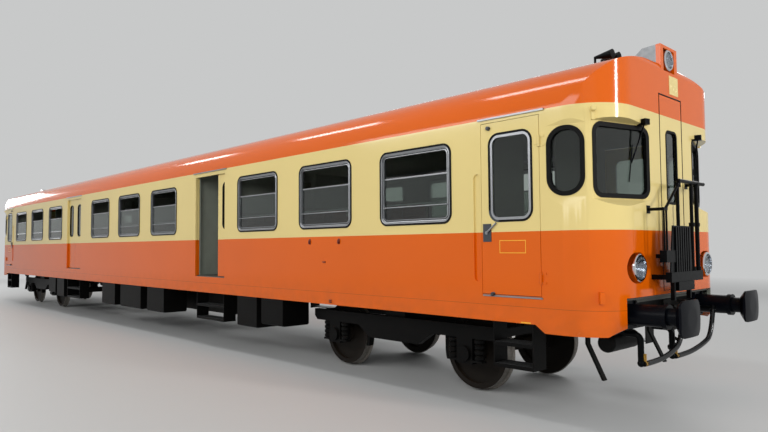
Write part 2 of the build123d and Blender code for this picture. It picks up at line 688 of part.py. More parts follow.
def make_passenger_windows():
    """Rubber seals, metal frames with the lowered sash, and panes, for every passenger window."""
    depth = WALL
    seal = ring(PASSENGER, 0, SEAL_WIDTH, (-SEAL_PROUD, depth))
    hole = SEAL_WIDTH + FRAME_WIDTH
    frame = ring(PASSENGER, SEAL_WIDTH, SEAL_WIDTH + FRAME_LIP, (-FRAME_PROUD, depth))
    frame += ring(PASSENGER, SEAL_WIDTH + FRAME_LIP, hole, (FRAME_STEP - FRAME_PROUD, depth))
    half = WINDOW_WIDTH / 2 - hole
    panes = []
    fixed = (PANE_SETBACK, PANE_SETBACK + PANE)
    sash = (fixed[1] + SASH_GAP, fixed[1] + SASH_GAP + PANE)
    outline = slab(PASSENGER, hole, (0, depth))
    panes.append(outline & block((-half, half), fixed, (0, up(SASH_TOP) - SASH_BAR)))
    panes.append(outline & block((-half, half), sash, (up(SASH_FOOT) + SASH_BAR, up(SASH_TOP) - SASH_BAR)))
    for height in (SASH_FOOT, SASH_TOP - SASH_BAR):
        front = sash[0] if height == SASH_FOOT else fixed[0] - FRAME_STEP
        frame += block((-half, half), (front, sash[1]), (up(height), up(height) + SASH_BAR))
    found = ([], [], [])
    for x in WINDOW_CENTRES:
        place = Pos(x, -HALF_WIDTH, 0)
        for pieces, shapes in zip(found, ([seal], [frame], panes)):
            pieces.extend(both_sides([place * shape for shape in shapes]))
    return found


def make_cab_windows():
    """Flat seals and panes of the quarter and corner windows."""
    seals, panes = [], []
    for place, window, _ in cab_windows():
        seals.append(place * ring(window, 0, CAB_SEAL_WIDTH, (-SEAL_PROUD, WALL)))
        panes.append(place * slab(window, CAB_SEAL_WIDTH, (PANE_SETBACK, PANE_SETBACK + PANE)))
    return four_corners(seals), four_corners(panes)


# Doors

def glaze(leaf, place, window, frame_width, y):
    """A leaf with a window put in: rubber seal, metal frame and pane, as one piece."""
    hole = SEAL_WIDTH + frame_width
    middle = (y[0] + y[1]) / 2
    leaf -= place * slab(window, 0, y)
    leaf += place * ring(window, 0, SEAL_WIDTH, (y[0] - SEAL_PROUD / 2, y[1]))
    if frame_width:
        leaf += place * ring(window, SEAL_WIDTH, hole, (y[0], y[1]))
    return leaf + place * slab(window, hole, (middle - PANE / 2, middle + PANE / 2))


def hinge_halves(height):
    """Moving and fixed half of a hinge on Z. The sheets lie at +Y, the moving one towards -X."""
    low, high = up(height), up(height) + HINGE_KNUCKLE_LENGTH
    strap_y = (HINGE_PIN_RADIUS, HINGE_KNUCKLE_RADIUS)
    bore = HINGE_PIN_RADIUS + RUNNING_GAP
    moving = rod((0, 0, low), "z", HINGE_KNUCKLE_RADIUS, HINGE_KNUCKLE_LENGTH)
    moving += block((-HINGE_STRAP, 0), strap_y, (low, high))
    moving -= rod((0, 0, low), "z", bore, HINGE_KNUCKLE_LENGTH)
    end = HINGE_KNUCKLE_LENGTH / 3
    lows = (low - RUNNING_GAP - end, high + RUNNING_GAP)
    fixed = rod((0, 0, lows[0]), "z", HINGE_PIN_RADIUS, lows[1] + end - lows[0])
    for start in lows:
        fixed += rod((0, 0, start), "z", HINGE_KNUCKLE_RADIUS, end)
        fixed += block((0, HINGE_STRAP), strap_y, (start, start + end))
    return moving, fixed


def crew_hinges():
    """The hinges of the near-side front crew door, as moving and fixed halves."""
    place = Pos(CREW_HINGE_X, -HINGE_Y, 0)
    return [[place * half for half in hinge_halves(height)] for height in CREW_HINGE_HEIGHTS]


def gangway_hinges():
    """The hinges of the front gangway door, inside the cab on the far side."""
    x = HALF_LENGTH - WALL - HINGE_KNUCKLE_RADIUS
    place = Pos(x, -(GANGWAY_WIDTH + DOOR_GAP) / 2, 0) * Rot(0, 0, -90)
    halves = [hinge_halves(height) for height in GANGWAY_HINGE_HEIGHTS]
    return [[(place * half).mirror(Plane.XZ) for half in pair] for pair in halves]


def make_crew_door():
    """Near-side front crew door: a flush leaf with one window, a lock and lever, hinged at its front."""
    back = CREW_DOOR_BACK + DOOR_GAP
    leaf = block(
        (back, CREW_HINGE_X - DOOR_GAP),
        (-HALF_WIDTH, -HALF_WIDTH + WALL),
        (up(DOOR_SILL) + DOOR_GAP, up(DOOR_HEAD) - DOOR_GAP),
    )
    place = Pos(CREW_HINGE_X - CREW_PANE_FRONT - CREW_PANE_WIDTH / 2, -HALF_WIDTH, 0)
    leaf = glaze(leaf, place, CREW_PANE, CREW_FRAME_WIDTH, (0, WALL))
    lock = (back + LOCK_X, back + LOCK_X + LOCK_WIDTH)
    leaf += block(lock, (-HALF_WIDTH - LOCK_PROUD, -HALF_WIDTH), (up(LOCK_LOW), up(LOCK_HIGH)))
    slope = math.radians(LEVER_SLOPE)
    boss = ((lock[0] + lock[1]) / 2, -HALF_WIDTH, up((LOCK_LOW + LOCK_HIGH) / 2))
    boss_y = -HALF_WIDTH - LOCK_PROUD - LEVER_RADIUS
    leaf += rod((boss[0], boss_y, boss[2]), "y", 2 * LEVER_RADIUS, LOCK_PROUD + LEVER_RADIUS)
    tip = (boss[0] + LEVER_LENGTH * math.cos(slope), boss_y, boss[2] + LEVER_LENGTH * math.sin(slope))
    leaf += bar_between((boss[0], boss_y, boss[2]), tip, LEVER_RADIUS)
    for moving, _ in crew_hinges():
        leaf += moving
    return [leaf]


def make_leaf(toward, shift):
    """Near-side leaf of the front entrance. toward is +1 for the leaf on the cab side, shift its travel."""
    edge = ENTRANCE_CENTRE + toward * (LEAF_CLOSED_EDGE + shift)
    tail = edge + toward * LEAF_WIDTH
    x = (min(edge, tail), max(edge, tail))
    low, high = up(FLOOR_TOP) + DOOR_GAP, up(ENTRANCE_HEAD) + LEAF_OVERLAP
    leaf = block(x, (-LEAF_OUTER_Y, -LEAF_INNER_Y), (low, high))
    place = Pos(edge + toward * (LEAF_PANE_EDGE + LEAF_PANE_WIDTH / 2), -LEAF_OUTER_Y, 0)
    leaf = glaze(leaf, place, LEAF_PANE, 0, (0, LEAF_THICKNESS))
    rail_top = high + RUNNING_GAP + RAIL_BAR
    hanger_y = (-LEAF_INNER_Y - LEAF_SIDE_GAP, -LEAF_INNER_Y)
    for share in ROLLER_SHARES:
        roller_x = edge + toward * share * LEAF_WIDTH
        hanger_x = (roller_x - ROLLER_RADIUS, roller_x + ROLLER_RADIUS)
        leaf += block(hanger_x, hanger_y, (high - WALL, rail_top + ROLLER_RADIUS))
        axle_z = rail_top + RUNNING_GAP + ROLLER_RADIUS
        leaf += rod((roller_x, hanger_y[0] - RAIL_BAR, axle_z), "y", ROLLER_RADIUS, RAIL_BAR)
    return [leaf]


def make_rails():
    """Bars that the leaves of the near front entrance hang from."""
    low = up(ENTRANCE_HEAD) + LEAF_OVERLAP + RUNNING_GAP
    rail_y = (-HALF_WIDTH + WALL, -LEAF_INNER_Y - LEAF_SIDE_GAP - RUNNING_GAP)
    return [block((INNER_POCKET_END, OUTER_POCKET_END), rail_y, (low, low + RAIL_BAR))]


def make_gangway_door():
    """Front gangway door: a plain leaf with a tall narrow window, hinged on the far side."""
    half = GANGWAY_WIDTH / 2
    leaf = block((HALF_LENGTH - WALL, HALF_LENGTH), (-half, half), (up(GANGWAY_SILL), up(GANGWAY_HEAD)))
    leaf = glaze(leaf, Pos(HALF_LENGTH, 0, 0) * Rot(0, 0, 90), GANGWAY_PANE, 0, (0, WALL))
    for moving, _ in gangway_hinges():
        leaf += moving
    return [leaf]


# Floor, inner walls and fittings

def plan_slab(inset, z):
    """Slab with the body's plan, drawn in by an inset."""
    plan = RectangleRounded(BODY_LENGTH - 2 * inset, BODY_WIDTH - 2 * inset, CORNER_RADIUS - inset)
    return Pos(0, 0, z[0]) * extrude(plan, z[1] - z[0])


def make_floor():
    """Floor slab inside the shell, stepped up over each headstock."""
    high = up(FLOOR_TOP)
    floor = plan_slab(WALL, (high - FLOOR_THICKNESS, high))
    for end in (1, -1):
        floor -= block((end * HEADSTOCK_X, end * BODY_LENGTH), ACROSS, (0, high - CAB_FLOOR_LIP))
    return [floor]


def make_inner_walls():
    """Half walls each side of the entrances, and the linings of the door pockets."""
    low, high = up(FLOOR_TOP), up(ROOF_SPRING) + WALL
    inside = body_block(WALL, low)
    inner = LINING_OUTER_Y - LINING
    pieces = []
    for x in VESTIBULE_WALLS:
        span = (x, x + BULKHEAD_THICKNESS)
        pieces.append(inside & block(span, (-inner + RUNNING_GAP, -AISLE_HALF), (low, high)))
    for x in ((INNER_POCKET_END, ENTRANCE_INNER), (ENTRANCE_OUTER, OUTER_POCKET_END)):
        pieces.append(block(x, (-LINING_OUTER_Y, -inner), (low, high)))
    return four_corners(pieces)


def make_cab_bulkheads():
    """Wall behind each cab, with a doorway on the centre line."""
    low = up(FLOOR_TOP)
    x = (CAB_BULKHEAD, CAB_BULKHEAD + BULKHEAD_THICKNESS)
    wall = body_block(WALL, low) & block(x, ACROSS, (low, 2 * ROOF_TOP))
    wall -= block((0, BODY_LENGTH), (-AISLE_HALF, AISLE_HALF), (0, low + DOORWAY_HEIGHT))
    return both_ends([wall])


def make_seats():
    """Frames and cushions of the benches for two, face to face at every passenger window."""
    low = up(FLOOR_TOP)
    outer = HALF_WIDTH - WALL - SEAT_SIDE_GAP
    y = (-outer, SEAT_WIDTH - outer)
    nearest = VESTIBULE_WALLS[1] + BULKHEAD_THICKNESS + DOOR_GAP
    furthest = CAB_BULKHEAD - DOOR_GAP
    cushion_low = low + SEAT_HEIGHT - SEAT_CUSHION
    frames, cushions = [], []
    for centre in WINDOW_CENTRES:
        for facing in (1, -1):
            back = centre - facing * (WINDOW_PITCH / 2 - DOOR_GAP)
            if abs(centre) > WINDOW_PITCH * WINDOWS_MID / 2:
                back = math.copysign(min(max(abs(back), nearest), furthest), back)
            toe = back + facing * SEAT_DEPTH
            shin = back + facing * (SEAT_DEPTH - SEAT_PEDESTAL_SETBACK)
            front = back + facing * SEAT_BOARD
            soft = back + facing * SEAT_BACK_THICKNESS
            inset = (y[0] + SEAT_PEDESTAL_SETBACK, y[1] - SEAT_PEDESTAL_SETBACK)
            frame = block((back, shin), inset, (low, cushion_low))
            frame += block((back, front), inset, (low, low + SEAT_BACK_TOP - SEAT_PEDESTAL_SETBACK))
            frames.append(frame)
            rest = block((front, soft), y, (low + SEAT_HEIGHT + SEAT_SOFT_GAP, low + SEAT_BACK_TOP))
            seat = block((front, toe), y, (cushion_low, low + SEAT_HEIGHT))
            cushions.append(fillet(rest.edges(), SEAT_CORNER))
            cushions.append(fillet(seat.edges(), SEAT_CORNER))
    return both_sides(frames), both_sides(cushions)


def make_luggage_racks():
    """Shelf over the windows of each saloon, fixed to the side walls."""
    low = up(FLOOR_TOP) + RACK_HEIGHT
    inner = HALF_WIDTH - WALL
    clear = SEAT_SIDE_GAP / 3
    racks = []
    for x in (
        (clear - INNER_POCKET_END, INNER_POCKET_END - clear),
        (OUTER_POCKET_END + clear, CAB_BULKHEAD - DOOR_GAP),
        (DOOR_GAP - CAB_BULKHEAD, -OUTER_POCKET_END - clear),
    ):
        racks.append(block(x, (-inner, RACK_DEPTH - inner), (low, low + RACK_THICKNESS)))
    return both_sides(racks)


def make_cab_desks():
    """Control desks on each side of the gangway in both cabs."""
    low = up(FLOOR_TOP)
    front = HALF_LENGTH - LAMP_PAN_DEPTH - WALL
    desk = plan_slab(WALL + DOOR_GAP, (low, low + DESK_HEIGHT))
    desk &= block((front - DESK_DEPTH, front), (-BODY_WIDTH, -AISLE_HALF - WALL), FULL_HEIGHT)
    return four_corners([desk])


# Underframe and what hangs from it

def make_sills():
    """Two longitudinal sills from headstock to headstock."""
    reach = HEADSTOCK_X - HEADSTOCK_PLATE
    y = (-SILL_Y - SILL_WIDTH / 2, SILL_WIDTH / 2 - SILL_Y)
    return both_sides([block((-reach, reach), y, (up(SILL_BOTTOM), up(CROSS_MEMBER_BOTTOM)))])


def make_cross_members():
    """Members between sills and floor, bolsters with their pivot pins, headstocks and guard irons."""
    low, high = up(CROSS_MEMBER_BOTTOM), up(FLOOR_TOP - FLOOR_THICKNESS)
    reach = HALF_WIDTH - WALL - DOOR_GAP
    half = CROSS_MEMBER_WIDTH / 2
    members = []
    places = [0, WINDOW_PITCH] + [HALF_LENGTH - setback for setback in CROSS_MEMBER_SETBACKS]
    for x in sorted({end * x for x in places for end in (1, -1)}):
        members.append(block((x - half, x + half), (-reach, reach), (low, high)))
    span = (PIVOT_X - BOLSTER_WIDTH / 2, PIVOT_X + BOLSTER_WIDTH / 2)
    seat = SILL_Y - SILL_WIDTH / 2
    bolster = block(span, (-reach, reach), (low, high))
    bolster += block(span, (-seat, seat), (up(SILL_BOTTOM), low))
    bolster += rod((PIVOT_X, 0, up(SILL_BOTTOM) - PIVOT_PIN_DROP), "z", PIVOT_PIN_RADIUS, PIVOT_PIN_DROP)
    beam = CAB_FRONT_HALF_CUT - WALL
    head = (up(CORNER_SKIRT_BOTTOM) + WALL, high)
    headstock = block((HEADSTOCK_X - HEADSTOCK_PLATE, HEADSTOCK_X), (-beam, beam), head)
    members += both_ends([bolster, headstock])
    x = HALF_LENGTH - GUARD_IRON[0]
    thick = GUARD_IRON_THICKNESS
    side = Polyline(
        (x, high), (x + thick, high), (x + thick, up(GUARD_IRON_BEND)),
        (x + GUARD_IRON_SLANT + thick, up(GUARD_IRON_LOW)), (x + GUARD_IRON_SLANT, up(GUARD_IRON_LOW)),
        (x, up(GUARD_IRON_BEND)), close=True,
    )
    iron = Pos(0, -GUARD_IRON[1], 0) * extrude(Plane.XZ * make_face(side), GUARD_IRON_WIDTH / 2, both=True)
    return members + four_corners([iron])


def case(x, y, z):
    """Equipment case whose long edges are rounded."""
    body = block(x, y, z)
    return fillet(body.edges().filter_by(Axis.X), EQUIPMENT_CORNER)


def make_underfloor():
    """Engines, fuel tanks, equipment boxes and air reservoirs, by node."""
    floor = up(FLOOR_TOP - FLOOR_THICKNESS)
    side = SKIRT_SHEET + WALL - HALF_WIDTH
    low = up(UNDERFLOOR_LOW)
    engine_x, engine_y = ENGINE
    tank_x, tank_y = FUEL_TANK
    tank_span = (side, side + tank_y)
    box_y = (side, side + EQUIPMENT_DEPTH)
    boxes = [case(MID_BOX, box_y, (low, floor))]
    for (inner, outer), bottom in END_BOXES:
        boxes.append(case((HALF_LENGTH - inner, HALF_LENGTH - outer), box_y, (up(bottom), floor)))
    x, z = HALF_LENGTH - RESERVOIR[0], up(RESERVOIR[1])
    length = RESERVOIR_SPAN[1] - RESERVOIR_SPAN[0]
    reservoir = rod((x, RESERVOIR_SPAN[0], z), "y", RESERVOIR_RADIUS, length)
    reservoir = fillet(reservoir.edges().filter_by(GeomType.CIRCLE), RESERVOIR_RADIUS / 2)
    reservoir += block((x - WALL / 2, x + WALL / 2), RESERVOIR_STRAP_Y, (z, floor))
    return {
        "engines": both_ends([block(engine_x, (-engine_y, engine_y), (low, up(SILL_BOTTOM)))]),
        "fuel_tanks": both_sides([case((-tank_x, tank_x), tank_span, (low, up(CROSS_MEMBER_BOTTOM)))]),
        "equipment_boxes": four_corners(boxes),
        "air_reservoirs": both_ends([reservoir]),
    }


def make_steps():
    """Two hanging treads under every door."""
    racks = []
    y = (SKIRT_SHEET + DOOR_GAP - HALF_WIDTH, SKIRT_SHEET + STEP_DEPTH - HALF_WIDTH)
    for x, half in ((ENTRANCE_CENTRE, ENTRANCE_WIDTH / 2 - WALL), (CREW_DOOR_X, CREW_STEP_HALF)):
        rack = []
        for height in STEP_HEIGHTS:
            rack.append(block((x - half, x + half), y, (up(height) - STEP_PLATE, up(height))))
            lip = (y[0], y[0] + STEP_PLATE)
            rack.append(block((x - half, x + half), lip, (up(height) - STEP_LIP, up(height) - STEP_PLATE)))
        for edge in (x - half, x + half - STEP_PLATE):
            foot = up(min(STEP_HEIGHTS)) - STEP_LIP
            rack.append(block((edge, edge + STEP_PLATE), y, (foot, up(SIDE_BOTTOM))))
        racks.append(rack[0] + rack[1:])
    return four_corners(racks)


# Buffers, coupling and front fittings

def make_buffers():
    """Side buffers: bolted base, casing with a collar, plunger, and a wide head with a crowned face."""
    face_x = HALF_LENGTH + BUFFER_REACH
    rim_x = face_x - BUFFER_HEAD_RIM
    back_x = rim_x - BUFFER_HEAD_BACK
    casing_end = HEADSTOCK_X + BUFFER_CASING_SHARE * (face_x - HEADSTOCK_X)
    centre = (-BUFFER_HALF_SPACING, up(BUFFER_HEIGHT))
    buffer = rod((HEADSTOCK_X, *centre), "x", BUFFER_CASING_RADIUS, casing_end - HEADSTOCK_X)
    collar_x = casing_end - BUFFER_COLLAR_LENGTH
    buffer += rod((collar_x, *centre), "x", BUFFER_COLLAR_RADIUS, BUFFER_COLLAR_LENGTH)
    buffer += rod((casing_end, *centre), "x", BUFFER_PLUNGER_RADIUS, back_x - casing_end)
    base = RectangleRounded(BUFFER_BASE, BUFFER_BASE, BUFFER_BOLT_RADIUS)
    buffer += Pos(HEADSTOCK_X, *centre) * extrude(Plane.YZ * base, BUFFER_BASE_THICKNESS)
    spread = BUFFER_BASE / 2 - 2 * BUFFER_BOLT_RADIUS
    for y in (-spread, spread):
        for z in (-spread, spread):
            start = (HEADSTOCK_X, centre[0] + y, centre[1] + z)
            buffer += rod(start, "x", BUFFER_BOLT_RADIUS, BUFFER_BASE_THICKNESS + BUFFER_BOLT_RADIUS)
    outline = RectangleRounded(BUFFER_HEAD_WIDTH, BUFFER_HEAD_HEIGHT, BUFFER_HEAD_CORNER)
    neck = Pos(0, 0, -BUFFER_HEAD_BACK) * scale(outline, BUFFER_NECK)
    head = extrude(outline, BUFFER_HEAD_RIM) + loft([neck, outline])
    crown = math.sqrt(BUFFER_FACE_RADIUS**2 - BUFFER_FACE_FLAT**2)
    head &= Pos(0, 0, BUFFER_HEAD_RIM - crown) * Sphere(BUFFER_FACE_RADIUS)
    buffer += Pos(rim_x, *centre) * Rot(0, 90, 0) * Rot(0, 0, 90) * head
    return four_corners([buffer])


def u_link(high, low):
    """Bar bent to a U that hangs from a cross pin at one height down to another."""
    half = LINK_HALF_WIDTH
    corners = [(0, -half, high), (0, -half, low), (0, half, low), (0, half, high)]
    path = FilletPolyline(*corners, radius=LINK_BEND)
    section = Plane(origin=(0, -half, high), z_dir=(0, 0, -1)) * Circle(LINK_RADIUS)
    pin = rod((0, -half - LINK_RADIUS, high), "y", LINK_RADIUS, 2 * half + 2 * LINK_RADIUS)
    return sweep(section, path=path) + pin


def make_couplings():
    """Draw hook with a curved mouth, and the link and screw that hang from it, at each end."""
    z = up(BUFFER_HEIGHT)
    tip = HOOK_REACH
    nose = HOOK_NOSE_HIGH
    shank = HOOK_SHANK
    outline = Polyline(
        (0, -shank), (tip - nose, -shank), (tip - shank, -nose), (tip, -shank), (tip, shank),
        (tip - shank / 2, nose), (tip - nose, nose), (tip - nose, shank), (0, shank), close=True,
    )
    mouth = Pos(tip - nose, shank) * Circle(HOOK_MOUTH_RADIUS)
    hook = extrude(Plane.XZ * (make_face(outline) - mouth), HOOK_THICKNESS / 2, both=True)
    hook += Pos(HEADSTOCK_PLATE / 2, 0, 0) * Box(HEADSTOCK_PLATE, HOOK_PLATE, HOOK_PLATE)
    eye_x = tip - nose - 2 * HOOK_MOUTH_RADIUS
    hang = Pos(eye_x, 0, 0) * u_link(0, -LINK_LENGTH)
    foot = -LINK_LENGTH - SCREW_LENGTH
    screw = rod((eye_x, 0, foot), "z", SCREW_RADIUS, SCREW_LENGTH)
    for height in (-LINK_LENGTH, foot):
        nut = rod((eye_x, -LINK_HALF_WIDTH, height), "y", 2 * LINK_RADIUS, 2 * LINK_HALF_WIDTH)
        screw += nut
    reach, high, low = SCREW_LEVER
    lever = bar_between((eye_x, 0, foot + high), (eye_x + reach, 0, foot + low), LINK_RADIUS)
    hook += [hang, screw, lever]
    return both_ends([Pos(HEADSTOCK_X, 0, z) * hook])


def make_gangway_gear():
    """Folded bridge plate, posts, hand bars and their frame in front of each gangway door."""
    gear = []
    for x, y, z in GEAR_BLOCKS:
        gear.append(block(x, y, (up(z[0]), up(z[1]))))
    for start, end, radius in GEAR_BARS:
        points = [(GEAR_DEPTH, y, up(height)) for y, height in (start, end)]
        gear.append(bar_between(*points, radius))
    radius, length = GEAR_COLLAR
    for y, height in GEAR_COLLARS:
        gear.append(rod((GEAR_DEPTH, y, up(height)), "z", radius, length))
    plate = make_face(Polyline(*[(y, up(height)) for y, height in GEAR_PLATE], close=True))
    gear.append(Pos(GEAR_DEPTH, 0, 0) * extrude(Plane.YZ * plate, GEAR_PLATE_THICKNESS))
    top = (GEAR_PLATE[3][0], GEAR_PLATE[2][0])
    ribs = []
    for number in range(GEAR_RIBS):
        y = top[0] + (number + 1) * (top[1] - top[0]) / (GEAR_RIBS + 1)
        x = (GEAR_DEPTH, GEAR_DEPTH + GEAR_PLATE_THICKNESS + GEAR_RIB)
        span = (up(GEAR_PLATE[0][1]) + GEAR_RIB, up(GEAR_PLATE[2][1]) - GEAR_RIB)
        ribs.append(block(x, (y - GEAR_RIB, y + GEAR_RIB), span))
    whole = gear[0] + gear[1:] + ribs
    return both_ends([Pos(HALF_LENGTH, 0, 0) * whole])


def lamp(seat, radius, proud):
    """Cup of a lamp along +X from its seat, with a rounded rim and a tapering reflector, and its lens."""
    bore = radius - LAMP_RIM
    outline = Polyline(
        (0, 0), (radius, 0), (radius, proud - PAN_SHEET), (radius - PAN_SHEET, proud), (bore, proud),
        (bore, proud - LAMP_LENS_SETBACK - LAMP_LENS), (bore / 3, PAN_SHEET), (0, PAN_SHEET), close=True,
    )
    cup = revolve(Plane.XZ * make_face(outline), Axis.Z)
    lens = Pos(0, 0, proud - LAMP_LENS_SETBACK - LAMP_LENS) * Cylinder(
        bore, LAMP_LENS, align=(Align.CENTER, Align.CENTER, Align.MIN)
    )
    place = Pos(*seat) * Rot(0, 90, 0)
    return place * cup, place * lens


def make_lamps():
    """Cups and lenses of the headlamps low on each cab corner and of the one in the roof housing."""
    seat = (HALF_LENGTH - LAMP_PAN_DEPTH, -LAMP_HALF_SPACING, up(LAMP_HEIGHT))
    cup, lens = lamp(seat, LAMP_RADIUS, LAMP_PAN_DEPTH + LAMP_PROUD)
    seat = (HALF_LENGTH - LAMP_PAN_DEPTH + PAN_SHEET, 0, up(ROOF_LAMP_HEIGHT))
    top_cup, top_lens = lamp(seat, ROOF_LAMP_RADIUS, LAMP_PAN_DEPTH)
    return both_ends(both_sides([cup]) + [top_cup]), both_ends(both_sides([lens]) + [top_lens])


def make_lamp_housings():
    """Pans behind the headlamps and the sloping housing of the roof lamp."""
    back = HALF_LENGTH - LAMP_PAN_DEPTH
    body = body_block(0, 0)
    beside = Pos(0, -LAMP_HALF_SPACING, 0)
    pan = beside * (lamp_hole(0) - lamp_hole(PAN_SHEET)) & body
    pan &= block((back - PAN_SHEET, BODY_LENGTH), ACROSS, FULL_HEIGHT)
    pan += beside * lamp_hole(0) & block((back - PAN_SHEET, back), ACROSS, FULL_HEIGHT)
    roof = up(ROOF_POCKET_LOW)
    top = up(ROOF_LAMP_TOP)
    side = Polyline(
        (HALF_LENGTH, roof), (HALF_LENGTH, top), (HALF_LENGTH - ROOF_LAMP_FLAT, top - ROOF_LAMP_DROP[0]),
        (HALF_LENGTH - ROOF_LAMP_LENGTH, top - ROOF_LAMP_DROP[1]), (HALF_LENGTH - ROOF_LAMP_LENGTH, roof),
        close=True,
    )
    housing = extrude(Plane.XZ * make_face(side), ROOF_LAMP_WIDTH / 2, both=True) - body
    lining = roof_pocket(0) & block((0, HALF_LENGTH), ACROSS, FULL_HEIGHT)
    return both_ends(both_sides([pan]) + [housing + lining - roof_pocket(PAN_SHEET)])


def make_roof_vents():
    """Low round vents along the ridge and a pair of horns over each cab."""
    body = body_block(0, 0)
    top = up(ROOF_TOP)
    pieces = []
    for x in (WINDOW_PITCH, END_WINDOW_FIRST, LAST_WINDOW):
        neck = rod((x, 0, top - WALL), "z", VENT_NECK * VENT_RADIUS, WALL + VENT_RISE / 2)
        pieces.append(neck + rod((x, 0, top + VENT_RISE / 2), "z", VENT_RADIUS, VENT_RISE / 2) - body)
    x = HALF_LENGTH - HORN_BACK
    small, large = HORN_RADII
    for y in HORNS:
        flare = Cone(small, large, HORN_LENGTH, align=(Align.CENTER, Align.CENTER, Align.MIN))
        horn = Pos(x, y, up(HORN_HEIGHT)) * Rot(0, 90, 0) * flare
        horn += block((x, x + small), (y - small, y + small), (up(ROOF_SPRING), up(HORN_HEIGHT)))
        pieces.append(horn - body)
    return both_ends(pieces)


def make_wipers(cab):
    """Motor, arm and blade on each corner window, seated on the cab they hang from."""
    place = cab_windows()[1][0]
    x, height = WIPER_MOTOR
    size = WIPER_MOTOR_SIZE
    seat = (x, -size[1] / 2 - WALL / 2, up(height))
    wiper = Pos(*seat) * Box(size[0], size[1] + WALL, size[2])
    blade_y = PANE_SETBACK - WIPER_BLADE_WIDTH / 2 - RUNNING_GAP
    low, high = WIPER_BLADE
    foot = (WIPER_TIP[0] - WIPER_BLADE_LEAN / 2, blade_y, up(low))
    head = (WIPER_TIP[0] + WIPER_BLADE_LEAN / 2, blade_y, up(high))
    wiper += bar_between(foot, head, WIPER_BLADE_WIDTH / 2)
    grip = (WIPER_TIP[0], blade_y - WIPER_BLADE_WIDTH / 2, up((low + high) / 2))
    wiper += bar_between((seat[0], -size[1], seat[2] - size[2] / 3), grip, WIPER_ARM_RADIUS)
    return four_corners([place * wiper - cab])


def make_strips():
    """Drip strips over the doors and bright strips along their sills."""
    pieces = []
    doorways = {"crew": (CREW_DOOR_BACK, CREW_HINGE_X), "entrance": (ENTRANCE_INNER, ENTRANCE_OUTER)}
    for doorway, (back, front), low, rise, proud in STRIPS:
        start, end = doorways[doorway]
        x = (start - back, end + front)
        pieces.append(block(x, (-HALF_WIDTH - proud, WALL - HALF_WIDTH), (up(low), up(low) + rise)))
    return four_corners([piece - body_block(0, 0) for piece in pieces])


# Brake pipes and hoses

def hose_points(route):
    """A hose's route in the body's own frame."""
    return [Vector(HALF_LENGTH + x, y, up(height)) for x, y, height in route]


def plug(at, towards, radius):
    """Short round plug that ends at one point and points away from another."""
    way = (at - towards).normalized()
    return bar_between(tuple(at), tuple(at + way * PLUG_LENGTH), radius)


def make_air_pipes():
    """Brake pipes under each headstock, with a cock at the foot, and the rests of the hose heads."""
    x = HALF_LENGTH + PIPE_X
    pieces = []
    run_z = up(PIPE_RUN)
    for (y, foot), route in zip(PIPE_FEET, HOSE_ROUTES):
        points = hose_points(route)
        path = FilletPolyline(
            (HALF_LENGTH - PIPE_BACK, y, run_z), (x, y, run_z), (x, y, up(foot)), radius=2 * PIPE_RADIUS
        )
        section = Plane(origin=(HALF_LENGTH - PIPE_BACK, y, run_z), z_dir=(1, 0, 0)) * Circle(PIPE_RADIUS)
        pipe = sweep(section, path=path) + Pos(x, y, up(foot)) * Sphere(COCK_RADIUS)
        clip = (HEADSTOCK_X - HEADSTOCK_PLATE, HEADSTOCK_X)
        pipe += block(clip, (y - PIPE_RADIUS, y + PIPE_RADIUS), (run_z, up(CORNER_SKIRT_BOTTOM) + WALL))
        reach, half, height = COCK_HANDLE
        pipe += block((x, x + reach), (y - half, y + half), (up(foot), up(foot) + height))
        pipe += plug(points[0], points[1], HOSE_RADIUS)
        pieces.append(pipe)
        head = plug(points[-1], points[-2], PIPE_RADIUS)
        end = points[-1]
        middle = end.Z + PLUG_LENGTH / 2
        head += block(
            (HEADSTOCK_X, end.X), (end.Y - HOLDER_WIDTH / 2, end.Y + HOLDER_WIDTH / 2),
            (middle - HOLDER_HEIGHT / 4, middle + HOLDER_HEIGHT / 4),
        )
        pieces.append(head)
    return both_ends(pieces)


def make_hose(route):
    """Rubber hose of straight runs joined by tangent arcs."""
    points = hose_points(route)
    start = points[0]
    edges = []
    for before, corner, after in zip(points, points[1:], points[2:]):
        reach = HOSE_BEND_SHARE * min((corner - before).length, (after - corner).length)
        into = (corner - before).normalized()
        out = (after - corner).normalized()
        bend = (corner - into * reach, corner + out * reach)
        edges += [Line(start, bend[0]), TangentArc(*bend, tangent=into)]
        start = bend[1]
    edges.append(Line(start, points[-1]))
    section = Plane(origin=points[0], z_dir=points[1] - points[0]) * Circle(HOSE_RADIUS)
    return sweep(section, path=Wire(edges))


# Bogies

